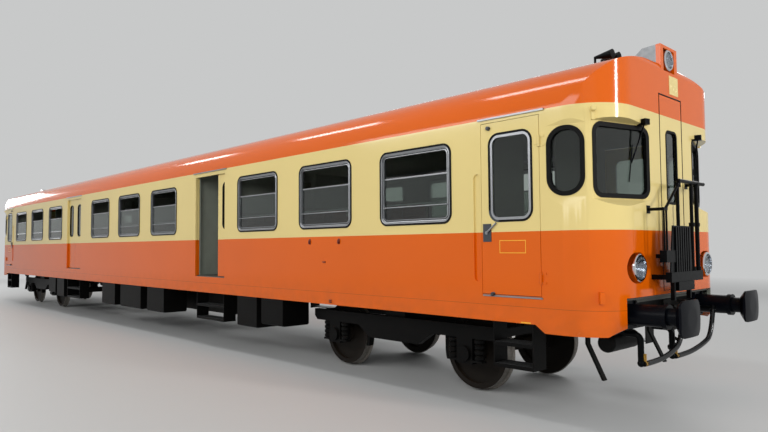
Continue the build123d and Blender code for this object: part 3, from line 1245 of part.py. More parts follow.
def bogie_side():
    """One side frame with its axleboxes, springs and covers, on the near side."""
    half_base = WHEELBASE / 2
    reach = half_base + BOGIE_OVERHANG
    span = (-BOGIE_FRAME_Y - BOGIE_FRAME_WIDTH / 2, BOGIE_FRAME_WIDTH / 2 - BOGIE_FRAME_Y)
    low, high, belly = up(BOGIE_FRAME_LOW), up(BOGIE_FRAME_HIGH), up(BOGIE_BELLY_LOW)
    flank = BOGIE_BELLY_HALF + BOGIE_BELLY_RISE
    right = [
        (BOGIE_BELLY_HALF, belly), (flank, low), (reach - BOGIE_NOSE, low), (reach, low + BOGIE_NOSE),
        (reach, high),
    ]
    left = [(-x, z) for x, z in reversed(right)]
    outline = make_face(Polyline(*right, *left, close=True))
    frame = Pos(0, -BOGIE_FRAME_Y, 0) * extrude(Plane.XZ * outline, BOGIE_FRAME_WIDTH / 2, both=True)
    seat = AXLE_Z - SPRING_SEAT_DROP
    arm = SPRING_OFFSET + SPRING_RADIUS
    rise = low - seat
    for axle in (-half_base, half_base):
        frame += block((axle - AXLEBOX_HALF, axle + AXLEBOX_HALF), span, (AXLE_Z - AXLEBOX_HALF, low))
        frame += block((axle - arm, axle + arm), span, (seat - SPRING_SEAT_THICKNESS, seat))
        for x in (axle - SPRING_OFFSET, axle + SPRING_OFFSET):
            frame += Pos(x, -BOGIE_FRAME_Y, seat) * spring(rise)
        start = (axle, span[0] - AXLEBOX_COVER_PROUD, AXLE_Z)
        frame -= rod((axle, span[0], AXLE_Z), "y", JOURNAL_RADIUS + RUNNING_GAP, BOGIE_FRAME_WIDTH)
        frame += rod(start, "y", AXLEBOX_COVER_RADIUS, AXLEBOX_COVER_PROUD)
    return frame


def spring(rise):
    """Coil spring, drawn as a stack of rounds on a core."""
    pitch = rise / SPRING_TURNS
    core = SPRING_RADIUS * SPRING_CORE
    points = [(0, 0)]
    for turn in range(SPRING_TURNS):
        base = turn * pitch
        points += [(core, base), (SPRING_RADIUS, base + pitch / 4), (SPRING_RADIUS, base + 3 * pitch / 4)]
    points += [(core, rise), (0, rise)]
    return revolve(Plane.XZ * make_face(Polyline(*points, close=True)), Axis.Z)


def brake_shoe(axle, toward):
    """Brake shoe beside one wheel of the near side, and the hanger that ties it to the frame."""
    face = TREAD_RADIUS + SHOE_GAP
    back = face + SHOE_THICKNESS
    inner = WHEEL_BACK_Y + FLANGE_WIDTH + 2 * SHOE_GAP
    y = (-inner - SHOE_WIDTH, -inner)
    x = (axle + toward * face, axle + toward * back)
    wheel = Pos(axle, y[1], AXLE_Z) * extrude(Plane.XZ * (Circle(back) - Circle(face)), SHOE_WIDTH)
    low = up(BOGIE_FRAME_LOW)
    top = AXLE_Z + SHOE_HALF_HEIGHT
    shoe = wheel & block((axle, axle + toward * BODY_WIDTH), ACROSS, (AXLE_Z - SHOE_HALF_HEIGHT, top))
    shoe += block(x, y, (AXLE_Z, low + SHOE_HANGER))
    return shoe + block(x, (-BOGIE_FRAME_Y, -inner), (low, low + SHOE_HANGER))


def make_bogie():
    """Bogie frame with sprung axleboxes, brake gear, transoms, end bars and a bolster, about X = 0."""
    half_base = WHEELBASE / 2
    inner = BOGIE_FRAME_Y
    low = up(BOGIE_FRAME_LOW)
    side = bogie_side()
    for axle in (-half_base, half_base):
        side += brake_shoe(axle, -math.copysign(1, axle))
    whole = side + side.mirror(Plane.XZ)
    end = half_base + BOGIE_OVERHANG
    for toward in (1, -1):
        x = toward * TRANSOM_X
        whole += block((x - TRANSOM_HALF, x + TRANSOM_HALF), (-inner, inner), (low, up(BOLSTER_LOW)))
        x = toward * end
        half = BOGIE_NOSE / 2
        whole += block((x - half, x + half), (-inner, inner), (low + WALL, low + WALL + 2 * SHOE_HANGER))
    waist = BOLSTER_HALF
    plan = Polyline(
        (waist, -waist), (waist, waist), (BOLSTER_END_HALF, inner), (-BOLSTER_END_HALF, inner),
        (-waist, waist), (-waist, -waist), (-BOLSTER_END_HALF, -inner), (BOLSTER_END_HALF, -inner),
        close=True,
    )
    bolster = Pos(0, 0, up(BOLSTER_LOW)) * extrude(make_face(plan), BOLSTER_HIGH - BOLSTER_LOW)
    plate = SILL_BOTTOM - BOLSTER_HIGH - RUNNING_GAP
    bolster += rod((0, 0, up(BOLSTER_HIGH)), "z", CENTRE_PLATE_RADIUS, plate)
    return whole + bolster - rod((0, 0, 0), "z", PIVOT_PIN_RADIUS + RUNNING_GAP, ROOF_TOP)


def make_wheelset():
    """Two flanged wheels pressed on one axle, whose journals run in the axleboxes."""
    half = BOGIE_FRAME_Y + BOGIE_FRAME_WIDTH / 2 - RUNNING_GAP
    shoulder = BOGIE_FRAME_Y - BOGIE_FRAME_WIDTH / 2 - DOOR_GAP
    back, face = WHEEL_BACK_Y, WHEEL_BACK_Y + TYRE_WIDTH
    rim = TREAD_RADIUS - RIM_THICKNESS
    web = (back + WEB_SETBACK, back + WEB_SETBACK + WEB_THICKNESS)
    outline = Polyline(
        (0, 0), (AXLE_RADIUS, 0), (AXLE_RADIUS, back - WALL), (HUB_RADIUS, back - WALL),
        (HUB_RADIUS, web[0]),
        (rim, web[0]), (rim, back), (TREAD_RADIUS + FLANGE_DEPTH - FLANGE_TIP, back),
        (TREAD_RADIUS + FLANGE_DEPTH, back + FLANGE_TIP), (TREAD_RADIUS, back + FLANGE_WIDTH),
        (TREAD_RADIUS - TREAD_TAPER, face), (rim, face), (rim, web[1]), (HUB_RADIUS, web[1]),
        (HUB_RADIUS, face + HUB_PROUD), (AXLE_RADIUS, face + HUB_PROUD), (AXLE_RADIUS, shoulder),
        (JOURNAL_RADIUS, shoulder), (JOURNAL_RADIUS, half), (0, half), close=True,
    )
    half_set = revolve(make_face(outline), Axis.Y)
    return half_set + half_set.mirror(Plane.XZ)


def placed(pieces, side, end):
    """Pieces of the near front quarter, moved to another side and end."""
    if (side == "near") != (end == "front"):
        pieces = [piece.mirror(Plane.XZ) for piece in pieces]
    if end == "rear":
        pieces = [Rot(0, 0, 180) * piece for piece in pieces]
    return pieces


def main():
    os.makedirs("parts", exist_ok=True)
    panels, surrounds, roof, cab = make_shell()
    straight, corners, bracket = make_skirts()
    seals, frames, panes = make_passenger_windows()
    cab_seals, cab_panes = make_cab_windows()
    fixed = both_sides([half for _, half in crew_hinges()])
    fixed += [half for _, half in gangway_hinges()]
    seat_frames, cushions = make_seats()
    cups, lenses = make_lamps()
    nodes = {
        "side_walls": panels,
        "door_surrounds": surrounds,
        "roof": roof,
        "cab_ends": both_ends([cab + both_sides([bracket]) + fixed]),
        "skirts": straight,
        "corner_skirts": corners,
        "window_seals": seals + cab_seals,
        "window_frames": frames,
        "window_panes": panes + cab_panes,
        "floor": make_floor(),
        "inner_walls": make_inner_walls(),
        "cab_bulkheads": make_cab_bulkheads(),
        "seat_frames": seat_frames,
        "seat_cushions": cushions,
        "luggage_racks": make_luggage_racks(),
        "cab_desks": make_cab_desks(),
        "sills": make_sills(),
        "cross_members": make_cross_members(),
        "steps": make_steps(),
        "buffers": make_buffers(),
        "couplings": make_couplings(),
        "gangway_gear": make_gangway_gear(),
        "headlamps": cups,
        "lamp_lenses": lenses,
        "lamp_housings": make_lamp_housings(),
        "roof_vents": make_roof_vents(),
        "wipers": make_wipers(cab),
        "door_strips": make_strips(),
        "air_pipes": make_air_pipes(),
        "door_rails": four_corners(make_rails()),
    }
    nodes.update(make_underfloor())

    door, gangway = make_crew_door(), make_gangway_door()
    for end in ("front", "rear"):
        for side in ("near", "far"):
            nodes[f"crew_door_{side}_{end}"] = placed(door, side, end)
            for edge, toward in (("outer", 1), ("inner", -1)):
                shift = 0.0
                if (side, end) == ("near", "front"):
                    shift = OUTER_LEAF_OPEN if edge == "outer" else ENTRANCE_WIDTH / 2 - LEAF_CLOSED_EDGE
                nodes[f"leaf_{side}_{end}_{edge}"] = placed(make_leaf(toward, shift), side, end)
        turn = Rot(0, 0, 0 if end == "front" else 180)
        nodes[f"gangway_door_{end}"] = [turn * piece for piece in gangway]
        for name, route in zip(("main", "brake"), HOSE_ROUTES):
            nodes[f"air_hose_{name}_{end}"] = [turn * make_hose(route)]

    bogie, wheelset = make_bogie(), make_wheelset()
    steps = (WHEELBASE / 2, -WHEELBASE / 2)
    for end, x in (("front", PIVOT_X), ("rear", -PIVOT_X)):
        nodes[f"bogie_{end}"] = [Pos(x, 0, 0) * bogie]
        for step in steps:
            number = 1 + steps.index(step) + 2 * (end == "rear")
            nodes[f"wheelset_{number}"] = [Pos(x + step, 0, AXLE_Z) * wheelset]
    for node, pieces in nodes.items():
        save(node, pieces)


main()
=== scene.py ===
"""Looks of the two-cab railcar coach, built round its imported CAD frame.

Metres, +Z up, +X along the train. Each operator dresses one group of pieces; the panel lists them.
"""
import bmesh
import bpy
import json
import math
from mathutils import Matrix, Vector
from mathutils.bvhtree import BVHTree

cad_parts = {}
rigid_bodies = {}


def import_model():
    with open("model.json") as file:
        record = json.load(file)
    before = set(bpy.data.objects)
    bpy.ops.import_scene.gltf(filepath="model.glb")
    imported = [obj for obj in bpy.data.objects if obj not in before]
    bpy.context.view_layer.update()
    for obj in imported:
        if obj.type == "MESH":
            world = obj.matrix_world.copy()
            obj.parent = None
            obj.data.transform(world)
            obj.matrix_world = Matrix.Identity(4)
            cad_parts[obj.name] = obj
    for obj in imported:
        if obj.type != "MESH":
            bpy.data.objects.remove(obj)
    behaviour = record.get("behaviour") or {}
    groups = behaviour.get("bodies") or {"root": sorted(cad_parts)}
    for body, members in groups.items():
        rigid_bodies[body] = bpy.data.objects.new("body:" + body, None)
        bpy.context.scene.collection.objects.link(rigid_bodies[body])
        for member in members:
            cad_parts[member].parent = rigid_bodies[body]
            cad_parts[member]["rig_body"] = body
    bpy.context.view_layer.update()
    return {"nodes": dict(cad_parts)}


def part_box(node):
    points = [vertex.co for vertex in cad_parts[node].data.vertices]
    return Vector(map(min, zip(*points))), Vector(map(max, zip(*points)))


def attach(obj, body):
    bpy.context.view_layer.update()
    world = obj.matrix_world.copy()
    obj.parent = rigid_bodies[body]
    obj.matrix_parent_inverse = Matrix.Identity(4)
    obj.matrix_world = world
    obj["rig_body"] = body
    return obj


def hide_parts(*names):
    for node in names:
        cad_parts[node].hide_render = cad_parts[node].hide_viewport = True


bl_info = {
    "name": "Railcar coach",
    "version": (1, 0, 0),
    "blender": (4, 5, 0),
    "location": "View3D > Sidebar > Coach",
    "description": "Dresses the packed railcar coach with its paint, glass, seats, hoses and running gear",
    "category": "Object",
}

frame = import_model()
MM = 0.001
# Top of the rail over the flange tips, where Z is 0.
RAIL = 0.028
# Of the body alone.
HALF_LENGTH = 11.27
HALF_WIDTH = 1.44
CORNER_RADIUS = 0.50
AXLE_HEIGHT = 0.483
# Foot and head of the dark seam over the skirt.
SKIRT_SEAM = (1.104 + RAIL, 1.108 + RAIL)
# Signs of X and of the side, as at_corners takes them.
EVERY_CORNER = ((1, 1), (1, -1), (-1, 1), (-1, -1))
BOTH_ENDS = ((1, 1), (-1, -1))
ENDS = ((1, "front"), (-1, "rear"))


def linear(code):
    """Linear colour with full alpha of an sRGB hex value."""
    values = [int(code[place:place + 2], 16) / 255 for place in (1, 3, 5)]
    return tuple(v / 12.92 if v <= 0.04045 else ((v + 0.055) / 1.055) ** 2.4 for v in values) + (1.0,)


def colour_property(name, description, code):
    """Colour that a user may change."""
    return bpy.props.FloatVectorProperty(
        name=name, description=description, subtype="COLOR", size=4, min=0, max=1, default=linear(code)
    )


class CoachColours(bpy.types.PropertyGroup):
    """Colours of the coach."""
    orange: colour_property("Orange", "Gloss enamel of the lower body and roof", "#e06204")
    cream: colour_property("Cream", "Gloss enamel of the window band", "#e8d28b")
    leathercloth: colour_property("Leathercloth", "Cover of the seats", "#6b3427")
    laminate: colour_property("Laminate", "Panels inside", "#8f9488")
    floor: colour_property("Stage floor", "Plain floor under the coach", "#c6c7c6")
    backdrop: colour_property("Backdrop", "Plain background behind the coach", "#c8c9c9")


class CoachSizes(bpy.types.PropertyGroup):
    """Sizes of the looks."""
    belt: bpy.props.FloatProperty(
        name="Belt", description="Height of the edge between orange and cream", default=1.884 + RAIL,
        unit="LENGTH"
    )
    roof_line: bpy.props.FloatProperty(
        name="Roof line", description="Height where the roof's orange starts", default=3.120 + RAIL,
        unit="LENGTH"
    )
    camera_place: bpy.props.FloatVectorProperty(
        name="Camera", description="Place of the camera", default=(14.059, -6.984, 1.762),
        subtype="XYZ", unit="LENGTH"
    )
    camera_turn: bpy.props.FloatVectorProperty(
        name="Camera turn", description="Heading, rise and roll of the camera",
        default=tuple(math.radians(turn) for turn in (136.427, 2.800, -0.385)),
        subtype="EULER", unit="ROTATION"
    )
    lens: bpy.props.FloatProperty(
        name="Lens", description="Focal length in mm on a 36 mm sensor", default=29.563
    )


# Materials

# Inputs 1 and 2 of a Map Range over noise, most of whose values lie between them.
NOISE_SPAN = {1: 0.3, 2: 0.7}


def add(tree, kind, inputs=None, output=0, **settings):
    """Add a shader node with its settings and links; returns one of its outputs.

    Inputs are plain values, or outputs of other nodes.
    """
    made = tree.nodes.new("ShaderNode" + kind)
    for name, value in settings.items():
        setattr(made, name, value)
    for key, value in (inputs or {}).items():
        if isinstance(value, bpy.types.NodeSocket):
            tree.links.new(value, made.inputs[key])
        else:
            made.inputs[key].default_value = value
    return made.outputs[output] if made.outputs else None


def begun(name):
    """New material; returns it with its empty tree and the Object coordinates there."""
    material = bpy.data.materials.new(name)
    material.use_nodes = True
    tree = material.node_tree
    tree.nodes.clear()
    return material, tree, add(tree, "TexCoord", output="Object")


def coated(material, **sockets):
    """Close a material with one Principled shader; returns it. The sockets' names have _ for spaces."""
    tree = material.node_tree
    shader = add(tree, "BsdfPrincipled", {key.replace("_", " "): value for key, value in sockets.items()})
    add(tree, "OutputMaterial", {"Surface": shader})
    return material


def patchy(tree, vector, grain, detail, first, second, low=0.0, high=1.0):
    """Two colours mixed in patches of a grain in mm. Returns the noise, its share and the mix."""
    noise = add(tree, "TexNoise", {0: vector, "Scale": 1 / (grain * MM), "Detail": detail})
    share = add(tree, "MapRange", {0: noise, **NOISE_SPAN, 3: low, 4: high})
    return noise, share, add(tree, "Mix", {0: share, 6: first, 7: second}, 2, data_type="RGBA")


def gloss_enamel(colours, sizes):
    """Gloss enamel sprayed on welded steel sheet.

    It mirrors the lamps crisply, but the hand-dressed sheet under it makes their edges waver. Low down
    road dust dulls it in soft patches.
    """
    material, tree, place = begun("gloss_enamel")
    height = add(tree, "SeparateXYZ", {0: place}, "Z")
    paint = tuple(colours.orange)
    for low, high, share, other in (
        (sizes.belt, sizes.roof_line, 1.0, tuple(colours.cream)), (*SKIRT_SEAM, 0.6, linear("#3a1a08")),
    ):
        above = add(tree, "Math", {0: height, 1: low}, operation="GREATER_THAN")
        below = add(tree, "Math", {0: height, 1: high}, operation="LESS_THAN")
        inside = add(tree, "Math", {0: above, 1: below}, operation="MULTIPLY")
        amount = add(tree, "Math", {0: inside, 1: share}, operation="MULTIPLY")
        paint = add(tree, "Mix", {0: amount, 6: paint, 7: other}, 2, data_type="RGBA")
    # Dust thins out from 0.9 m up to 1.35 m.
    low = add(tree, "MapRange", {0: height, 1: 0.9, 2: 1.35, 3: 0.5, 4: 0.0})
    patches = add(tree, "TexNoise", {0: place, "Scale": 1 / (180 * MM), "Detail": 6.0})
    patches = add(tree, "MapRange", {0: patches, **NOISE_SPAN, 4: 0.6})
    dust = add(tree, "Math", {0: low, 1: patches}, operation="MULTIPLY")
    paint = add(tree, "Mix", {0: dust, 6: paint, 7: linear("#8a4a1c")}, 2, data_type="RGBA")
    tone = add(tree, "TexNoise", {0: place, "Scale": 1 / (1400 * MM)})
    tone = add(tree, "MapRange", {0: tone, **NOISE_SPAN, 3: 0.96, 4: 1.0})
    grey = add(tree, "CombineColor", {0: tone, 1: tone, 2: tone})
    paint = add(tree, "Mix", {0: 1.0, 6: paint, 7: grey}, 2, data_type="RGBA", blend_type="MULTIPLY")
    gloss = add(tree, "MapRange", {0: dust, 2: 0.5, 3: 0.11, 4: 0.45})
    waves = add(tree, "TexNoise", {0: place, "Scale": 1 / (520 * MM), "Detail": 1.0})
    relief = add(tree, "Bump", {"Height": waves, "Distance": 1.6 * MM, "Strength": 0.5})
    return coated(
        material, Base_Color=paint, Roughness=gloss, Normal=relief, IOR=1.5, Specular_IOR_Level=0.38
    )


def plain(name, colour, roughness, grain, variation=0.12, relief=0.0, **sockets):
    """One-colour finish whose tone and gloss vary with a grain. Grain and relief in mm."""
    material, tree, place = begun(name)
    dark, light = (
        tuple(min(v * (1 + change), 1.0) for v in colour[:3]) + (1.0,) for change in (-variation, variation)
    )
    pattern, _, sockets["Base_Color"] = patchy(tree, place, grain, 5.0, dark, light)
    finer = add(tree, "TexNoise", {0: place, "Scale": 2 / (grain * MM), "Detail": 4.0})
    span = {3: roughness * 0.85, 4: roughness * 1.15}
    sockets["Roughness"] = add(tree, "MapRange", {0: finer, **NOISE_SPAN, **span})
    if relief:
        sockets["Normal"] = add(tree, "Bump", {"Height": pattern, "Distance": relief * MM})
    return coated(material, **sockets)


def dusty(name, code, roughness, grain, dust="#4a443c", share=0.3):
    """Dark paint on rough metal under road dust, which lies thickest on what faces up. Grain in mm."""
    material, tree, place = begun(name)
    facing = add(tree, "SeparateXYZ", {0: add(tree, "NewGeometry", output="Normal")}, "Z")
    upward = add(tree, "MapRange", {0: facing, 1: 0.2, 2: 1.0, 3: 0.12, 4: 1.0})
    patches = add(tree, "TexNoise", {0: place, "Scale": 1 / (grain * MM), "Detail": 6.0})
    patches = add(tree, "MapRange", {0: patches, **NOISE_SPAN, 4: share})
    amount = add(tree, "Math", {0: upward, 1: patches}, operation="MULTIPLY")
    paint = add(tree, "Mix", {0: amount, 6: linear(code), 7: linear(dust)}, 2, data_type="RGBA")
    gloss = add(tree, "MapRange", {0: amount, 2: 0.5, 3: roughness, 4: min(roughness + 0.4, 1.0)})
    grit = add(tree, "TexNoise", {0: place, "Scale": 6 / (grain * MM), "Detail": 4.0})
    relief = add(tree, "Bump", {"Height": grit, "Distance": 0.6 * MM, "Strength": 0.5})
    return coated(
        material, Base_Color=paint, Roughness=gloss, Normal=relief, IOR=1.5, Specular_IOR_Level=0.08
    )


def brushed_metal(name, code, roughness, grain):
    """Metal drawn or brushed along the coach, which leaves fine lines along X. Grain in mm, across them.

    The real lines are a few tenths of a millimetre apart. They are drawn coarser, so that they show.
    """
    material, tree, place = begun(name)
    drawn = add(tree, "Mapping", {0: place, "Scale": (0.04, 1, 1)})
    colour = linear(code)
    dark = tuple(v * 0.82 for v in colour[:3]) + (1.0,)
    lines, _, metal = patchy(tree, drawn, grain, 4.0, dark, colour)
    gloss = add(tree, "MapRange", {0: lines, **NOISE_SPAN, 3: roughness * 0.8, 4: roughness * 1.25})
    return coated(material, Metallic=1.0, Base_Color=metal, Roughness=gloss)


def glass(name, code, flutes=0.0):
    """Float glass with a film of dust that dulls its gloss in places; a lamp's has upright flutes, in mm."""
    material, tree, place = begun(name)
    film = add(tree, "TexNoise", {0: place, "Scale": 1 / (300 * MM), "Detail": 4.0})
    sockets = {"Roughness": add(tree, "MapRange", {0: film, **NOISE_SPAN, 4: 0.05})}
    if flutes:
        across = add(tree, "SeparateXYZ", {0: place}, "Y")
        phase = add(tree, "Math", {0: across, 1: math.tau / (flutes * MM)}, operation="MULTIPLY")
        wave = add(tree, "Math", {0: phase}, operation="SINE")
        sockets["Normal"] = add(tree, "Bump", {"Height": wave, "Distance": 0.4 * MM, "Strength": 0.5})
    return coated(material, Transmission_Weight=1.0, IOR=1.5, Base_Color=linear(code), **sockets)


def leathercloth(colour):
    """Vinyl leathercloth stretched over padding: a soft sheen, a pebbled grain and darker worn creases."""
    material, tree, place = begun("leathercloth")
    # The pressed grain is about 1 mm. It is drawn at 4 mm, so that it shows.
    pebbles = add(tree, "TexVoronoi", {0: place, "Scale": 1 / (4 * MM)})
    dark = tuple(v * 0.62 for v in colour[:3]) + (1.0,)
    _, worn, cover = patchy(tree, place, 240, 4.0, dark, colour)
    gloss = add(tree, "MapRange", {0: worn, 3: 0.5, 4: 0.36})
    relief = add(tree, "Bump", {"Height": pebbles, "Distance": 0.3 * MM, "Strength": 0.5})
    return coated(material, Base_Color=cover, Roughness=gloss, Normal=relief, IOR=1.5, Sheen_Weight=0.1)


def ribbed_vinyl():
    """Vinyl floor moulded with ribs along the aisle, 12 mm apart, greyed by feet."""
    material, tree, place = begun("ribbed_vinyl")
    across = add(tree, "SeparateXYZ", {0: place}, "Y")
    phase = add(tree, "Math", {0: across, 1: math.tau / (12 * MM)}, operation="MULTIPLY")
    ribs = add(tree, "Math", {0: phase}, operation="SINE")
    _, scuffs, tone = patchy(tree, place, 150, 6.0, linear("#3b3c3a"), linear("#56564f"))
    gloss = add(tree, "MapRange", {0: scuffs, 3: 0.4, 4: 0.6})
    relief = add(tree, "Bump", {"Height": ribs, "Distance": 1.0 * MM, "Strength": 0.6})
    return coated(material, Base_Color=tone, Roughness=gloss, Normal=relief, IOR=1.5)


def rolled_steel(name, bright, brown, share):
    """Rolled steel that rust browns in patches; bright where wheels or feet rub it, so share is low there."""
    material, tree, place = begun(name)
    low, high = max(share - 0.2, 0.0), min(share + 0.2, 1.0)
    _, rust, metal = patchy(tree, place, 25, 6.0, linear(bright), linear(brown), low, high)
    gloss = add(tree, "MapRange", {0: rust, 3: 0.3, 4: 0.75})
    grit = add(tree, "TexNoise", {0: place, "Scale": 1 / (6 * MM), "Detail": 4.0})
    relief = add(tree, "Bump", {"Height": grit, "Distance": 0.2 * MM, "Strength": 0.5})
    return coated(material, Metallic=0.85, Base_Color=metal, Roughness=gloss, Normal=relief)


def make_materials(colours, sizes):
    """Every material of the coach, by name. Each comment says what the real finish gives the eye."""
    return {
        "enamel": gloss_enamel(colours, sizes),
        # Moulded rubber: black, with a dull sheen on its round edges.
        "rubber": plain("moulded_rubber", linear("#080808"), 0.5, 30, 0.3, 0.1, Specular_IOR_Level=0.12),
        # Anodised aluminium: pale grey with a satin line along it.
        "alloy": brushed_metal("anodised_aluminium", "#a3a5a8", 0.34, 4),
        # Float glass in a dim saloon: a faint grey-green tint.
        "glass": glass("float_glass", "#a9b3ad"),
        "lamp_glass": glass("pressed_lamp_glass", "#dfe5ec", 16.0),
        "vinyl": ribbed_vinyl(),
        # Melamine laminate: even, with a low gloss.
        "laminate": plain("melamine_laminate", tuple(colours.laminate), 0.35, 200, 0.05, IOR=1.5),
        "leathercloth": leathercloth(tuple(colours.leathercloth)),
        # Brushed-on chassis black: satin where it is clean, brown-grey where dust lies.
        "chassis": dusty("chassis_black", "#080808", 0.42, 90, "#38332d"),
        # Sand-cast iron: rough, dark and oily.
        "iron": dusty("cast_iron", "#161514", 0.5, 50, "#3c332a"),
        # Blue-black gloss paint on the buffers, rubbed at the heads.
        "buffer_paint": dusty("buffer_enamel", "#06080e", 0.3, 70, "#1c1c1d", 0.2),
        # Chrome plate: a clear mirror with a few dull spots.
        "chrome": plain("chrome_plate", linear("#d4d6d9"), 0.07, 40, 0.03, Metallic=1.0),
        "tread": rolled_steel("rolled_tyre_steel", "#8b8781", "#4c3a2d", 0.2),
        # Wheel discs: oiled steel, its near-black brown partly painted shade, as the wheels sit in the shadow
        # under the body.
        "wheel": dusty("oiled_wheel_steel_with_painted_shade", "#1d1a17", 0.5, 60, "#4a3a2c", 0.4),
        "step_steel": rolled_steel("worn_step_plate", "#77787a", "#2a2622", 0.35),
        # Gangway fittings: stoved black enamel, glossier than the chassis.
        "gloss_black": plain("stoved_black_enamel", linear("#040506"), 0.32, 60, 0.2,
                             Specular_IOR_Level=0.08),
        # Brake hose: smooth black rubber with a long soft highlight.
        "hose_rubber": plain("hose_rubber", linear("#0a0b0d"), 0.24, 30, 0.3, 0.1, IOR=1.5),
        # Lock plate: pressed steel, dulled dark grey by hands and weather.
        "lock_steel": brushed_metal("weathered_lock_steel", "#55585c", 0.4, 3),
        # Lamp housing: aluminium paint, streaked pale where rain ran down.
        "silver_paint": plain("aluminium_paint", linear("#84898c"), 0.35, 45, 0.18, IOR=1.5, Metallic=0.35),
        # Sign-writer's enamel: flat yellow.
        "yellow": plain("yellow_sign_enamel", linear("#f0b02c"), 0.4, 60, 0.06, IOR=1.5),
        # Handle paint: mustard yellow, dirty with grease.
        "mustard": plain("greasy_handle_paint", linear("#97701a"), 0.45, 12, 0.4, IOR=1.5),
        # Cream enamel on a small cast plate.
        "cream_plate": plain("stoved_cream_enamel", tuple(colours.cream), 0.25, 80, 0.05, IOR=1.5),
        # Brackets painted dark red-brown: the body's orange darkened with painted shade, as it looks in their
        # shadow.
        "red_oxide": plain("painted_shade_orange", linear("#6b1f08"), 0.45, 20, 0.2, IOR=1.5),
    }


# What make_materials returns, filled by main.
MATERIALS = {}


# Shapes

def mesh_of(work, name):
    """Mesh of a form, which is freed."""
    mesh = bpy.data.meshes.new(name)
    work.to_mesh(mesh)
    work.free()
    return mesh


def link(name, mesh, node, *materials):
    """New object with a mesh, riding on a CAD node's body."""
    made = bpy.data.objects.new(name, mesh)
    bpy.context.scene.collection.objects.link(made)
    for material in materials:
        mesh.materials.append(MATERIALS[material])
    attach(made, frame["nodes"][node]["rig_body"])
    return made


def sharpen(work, angle):
    """Smooth shading, with sharp edges past an angle in degrees."""
    for face in work.faces:
        face.smooth = True
    limit = math.radians(angle)
    for edge in work.edges:
        edge.smooth = len(edge.link_faces) == 2 and edge.calc_face_angle(0) < limit


def drop_joints(work):
    """Delete the faces by which touching sheets of one node meet, so that they shade as one surface."""
    tree = BVHTree.FromBMesh(work)
    work.faces.ensure_lookup_table()
    hidden = []
    for face in work.faces:
        near = tree.find_nearest_range(face.calc_center_median(), 0.02 * MM)
        if any(face.normal.dot(work.faces[index].normal) < -0.99 for _, _, index, _ in near):
            hidden.append(face)
    bmesh.ops.delete(work, geom=hidden, context="FACES")


def grooved(work):
    """Sink the channel between the two lips of every window frame; returns its faces."""
    front = max(abs(vert.co.y) for vert in work.verts) - 0.5 * MM
    fronts = [face for face in work.faces if face.normal.y * face.calc_center_median().y > 0.99 * front]
    bmesh.ops.inset_region(
        work, faces=fronts, thickness=0.012, depth=-0.004, use_even_offset=True, use_boundary=True
    )
    return fronts


def dressed(node, choose, materials, angle=32.0, cuts=(), joined=False, channels=False):
    """Merged copy of a CAD node's mesh, its faces given materials by a rule, standing for the node.

    Cuts are values of X at which faces are split, so that a rule may change there. Channels sink a groove
    in the second material into its outermost faces.
    """
    work = bmesh.new()
    work.from_mesh(frame["nodes"][node].data)
    work.normal_update()
    if joined:
        drop_joints(work)
    bmesh.ops.remove_doubles(work, verts=work.verts, dist=0.01 * MM)
    for x in cuts:
        everything = work.verts[:] + work.edges[:] + work.faces[:]
        bmesh.ops.bisect_plane(work, geom=everything, plane_co=(x, 0, 0), plane_no=(1, 0, 0))
    work.normal_update()
    for face in work.faces:
        face.material_index = choose(face)
    for face in grooved(work) if channels else ():
        face.material_index = 1
    bmesh.ops.dissolve_limit(
        work, angle_limit=math.radians(0.2), verts=work.verts, edges=work.edges, delimit={"MATERIAL"}
    )
    made = finished(node + "_skin", work, node, materials, angle)
    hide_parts(node)
    return made


def finished(name, work, node, materials, angle=32.0):
    """Object of a form, shaded smooth up to an angle, riding with a CAD node."""
    sharpen(work, angle)
    made = link(name, mesh_of(work, name), node, *materials)
    weighted = made.modifiers.new("Weighted Normal", "WEIGHTED_NORMAL")
    weighted.keep_sharp = True
    return made


def paint(node, material):
    """Give a CAD node one material."""
    mesh = frame["nodes"][node].data
    mesh.materials.clear()
    mesh.materials.append(MATERIALS[material])


# Reach and heights of the upright sheet amid the coach that its inner faces look towards.
MIDDLE_REACH = 10.6
MIDDLE_HEIGHTS = (1.4, 3.1)


def shell_rule(face):
    """Enamel outside, laminate on what looks into the coach."""
    centre = face.calc_center_median()
    foot, head = MIDDLE_HEIGHTS
    middle = Vector((max(-MIDDLE_REACH, min(MIDDLE_REACH, centre.x)), 0, max(foot, min(head, centre.z))))
    out = centre - middle
    return 1 if face.normal.dot(out) < -0.1 * out.length else 0


def one(face):
    """First material everywhere."""
    return 0


def rounded_inset(x, z, window):
    """How far a point lies inside a rounded rectangle: (centre x, width, low, high, corner)."""
    centre, width, low, high, corner = window
    dx = abs(x - centre) - (width / 2 - corner)
    dz = abs(z - (low + high) / 2) - ((high - low) / 2 - corner)
    outside = math.hypot(max(dx, 0), max(dz, 0))
    return corner - outside - min(max(dx, dz), 0)


def door_rule(window, seal, rim, axis):
    """Rule for a door leaf: enamel, then rubber, alloy and glass by the distance inside its window."""
    other = 1 - axis
    slack = 0.4 * MM

    def choose(face):
        insets = [rounded_inset(v.co[other], v.co.z, window) for v in face.verts]
        inset = sum(insets) / len(insets)
        if min(insets) < -slack:
            return 0
        if abs(face.normal[axis]) > 0.5:
            if inset > seal + rim - slack:
                return 3
            return 2 if inset > seal + slack else 1
        if inset > seal + rim - slack and rim:
            return 2
        return 1
    return choose


# A crew door's lock lies behind this X and under this Z; its plate is this thick, under the lever.
LOCK_FRONT = 10.05
LOCK_HEAD = 2.2
LOCK_PLATE = 6.5 * MM


def lock_rule(plain_rule):
    """A crew door's rule, with its lock plate and the lever on that told apart by how far they stand out."""
    def choose(face):
        centre = face.calc_center_median()
        proud = abs(centre.y) - HALF_WIDTH
        if proud < 0.1 * MM or abs(centre.x) > LOCK_FRONT or centre.z > LOCK_HEAD:
            return plain_rule(face)
        return 5 if proud > LOCK_PLATE else 4
    return choose


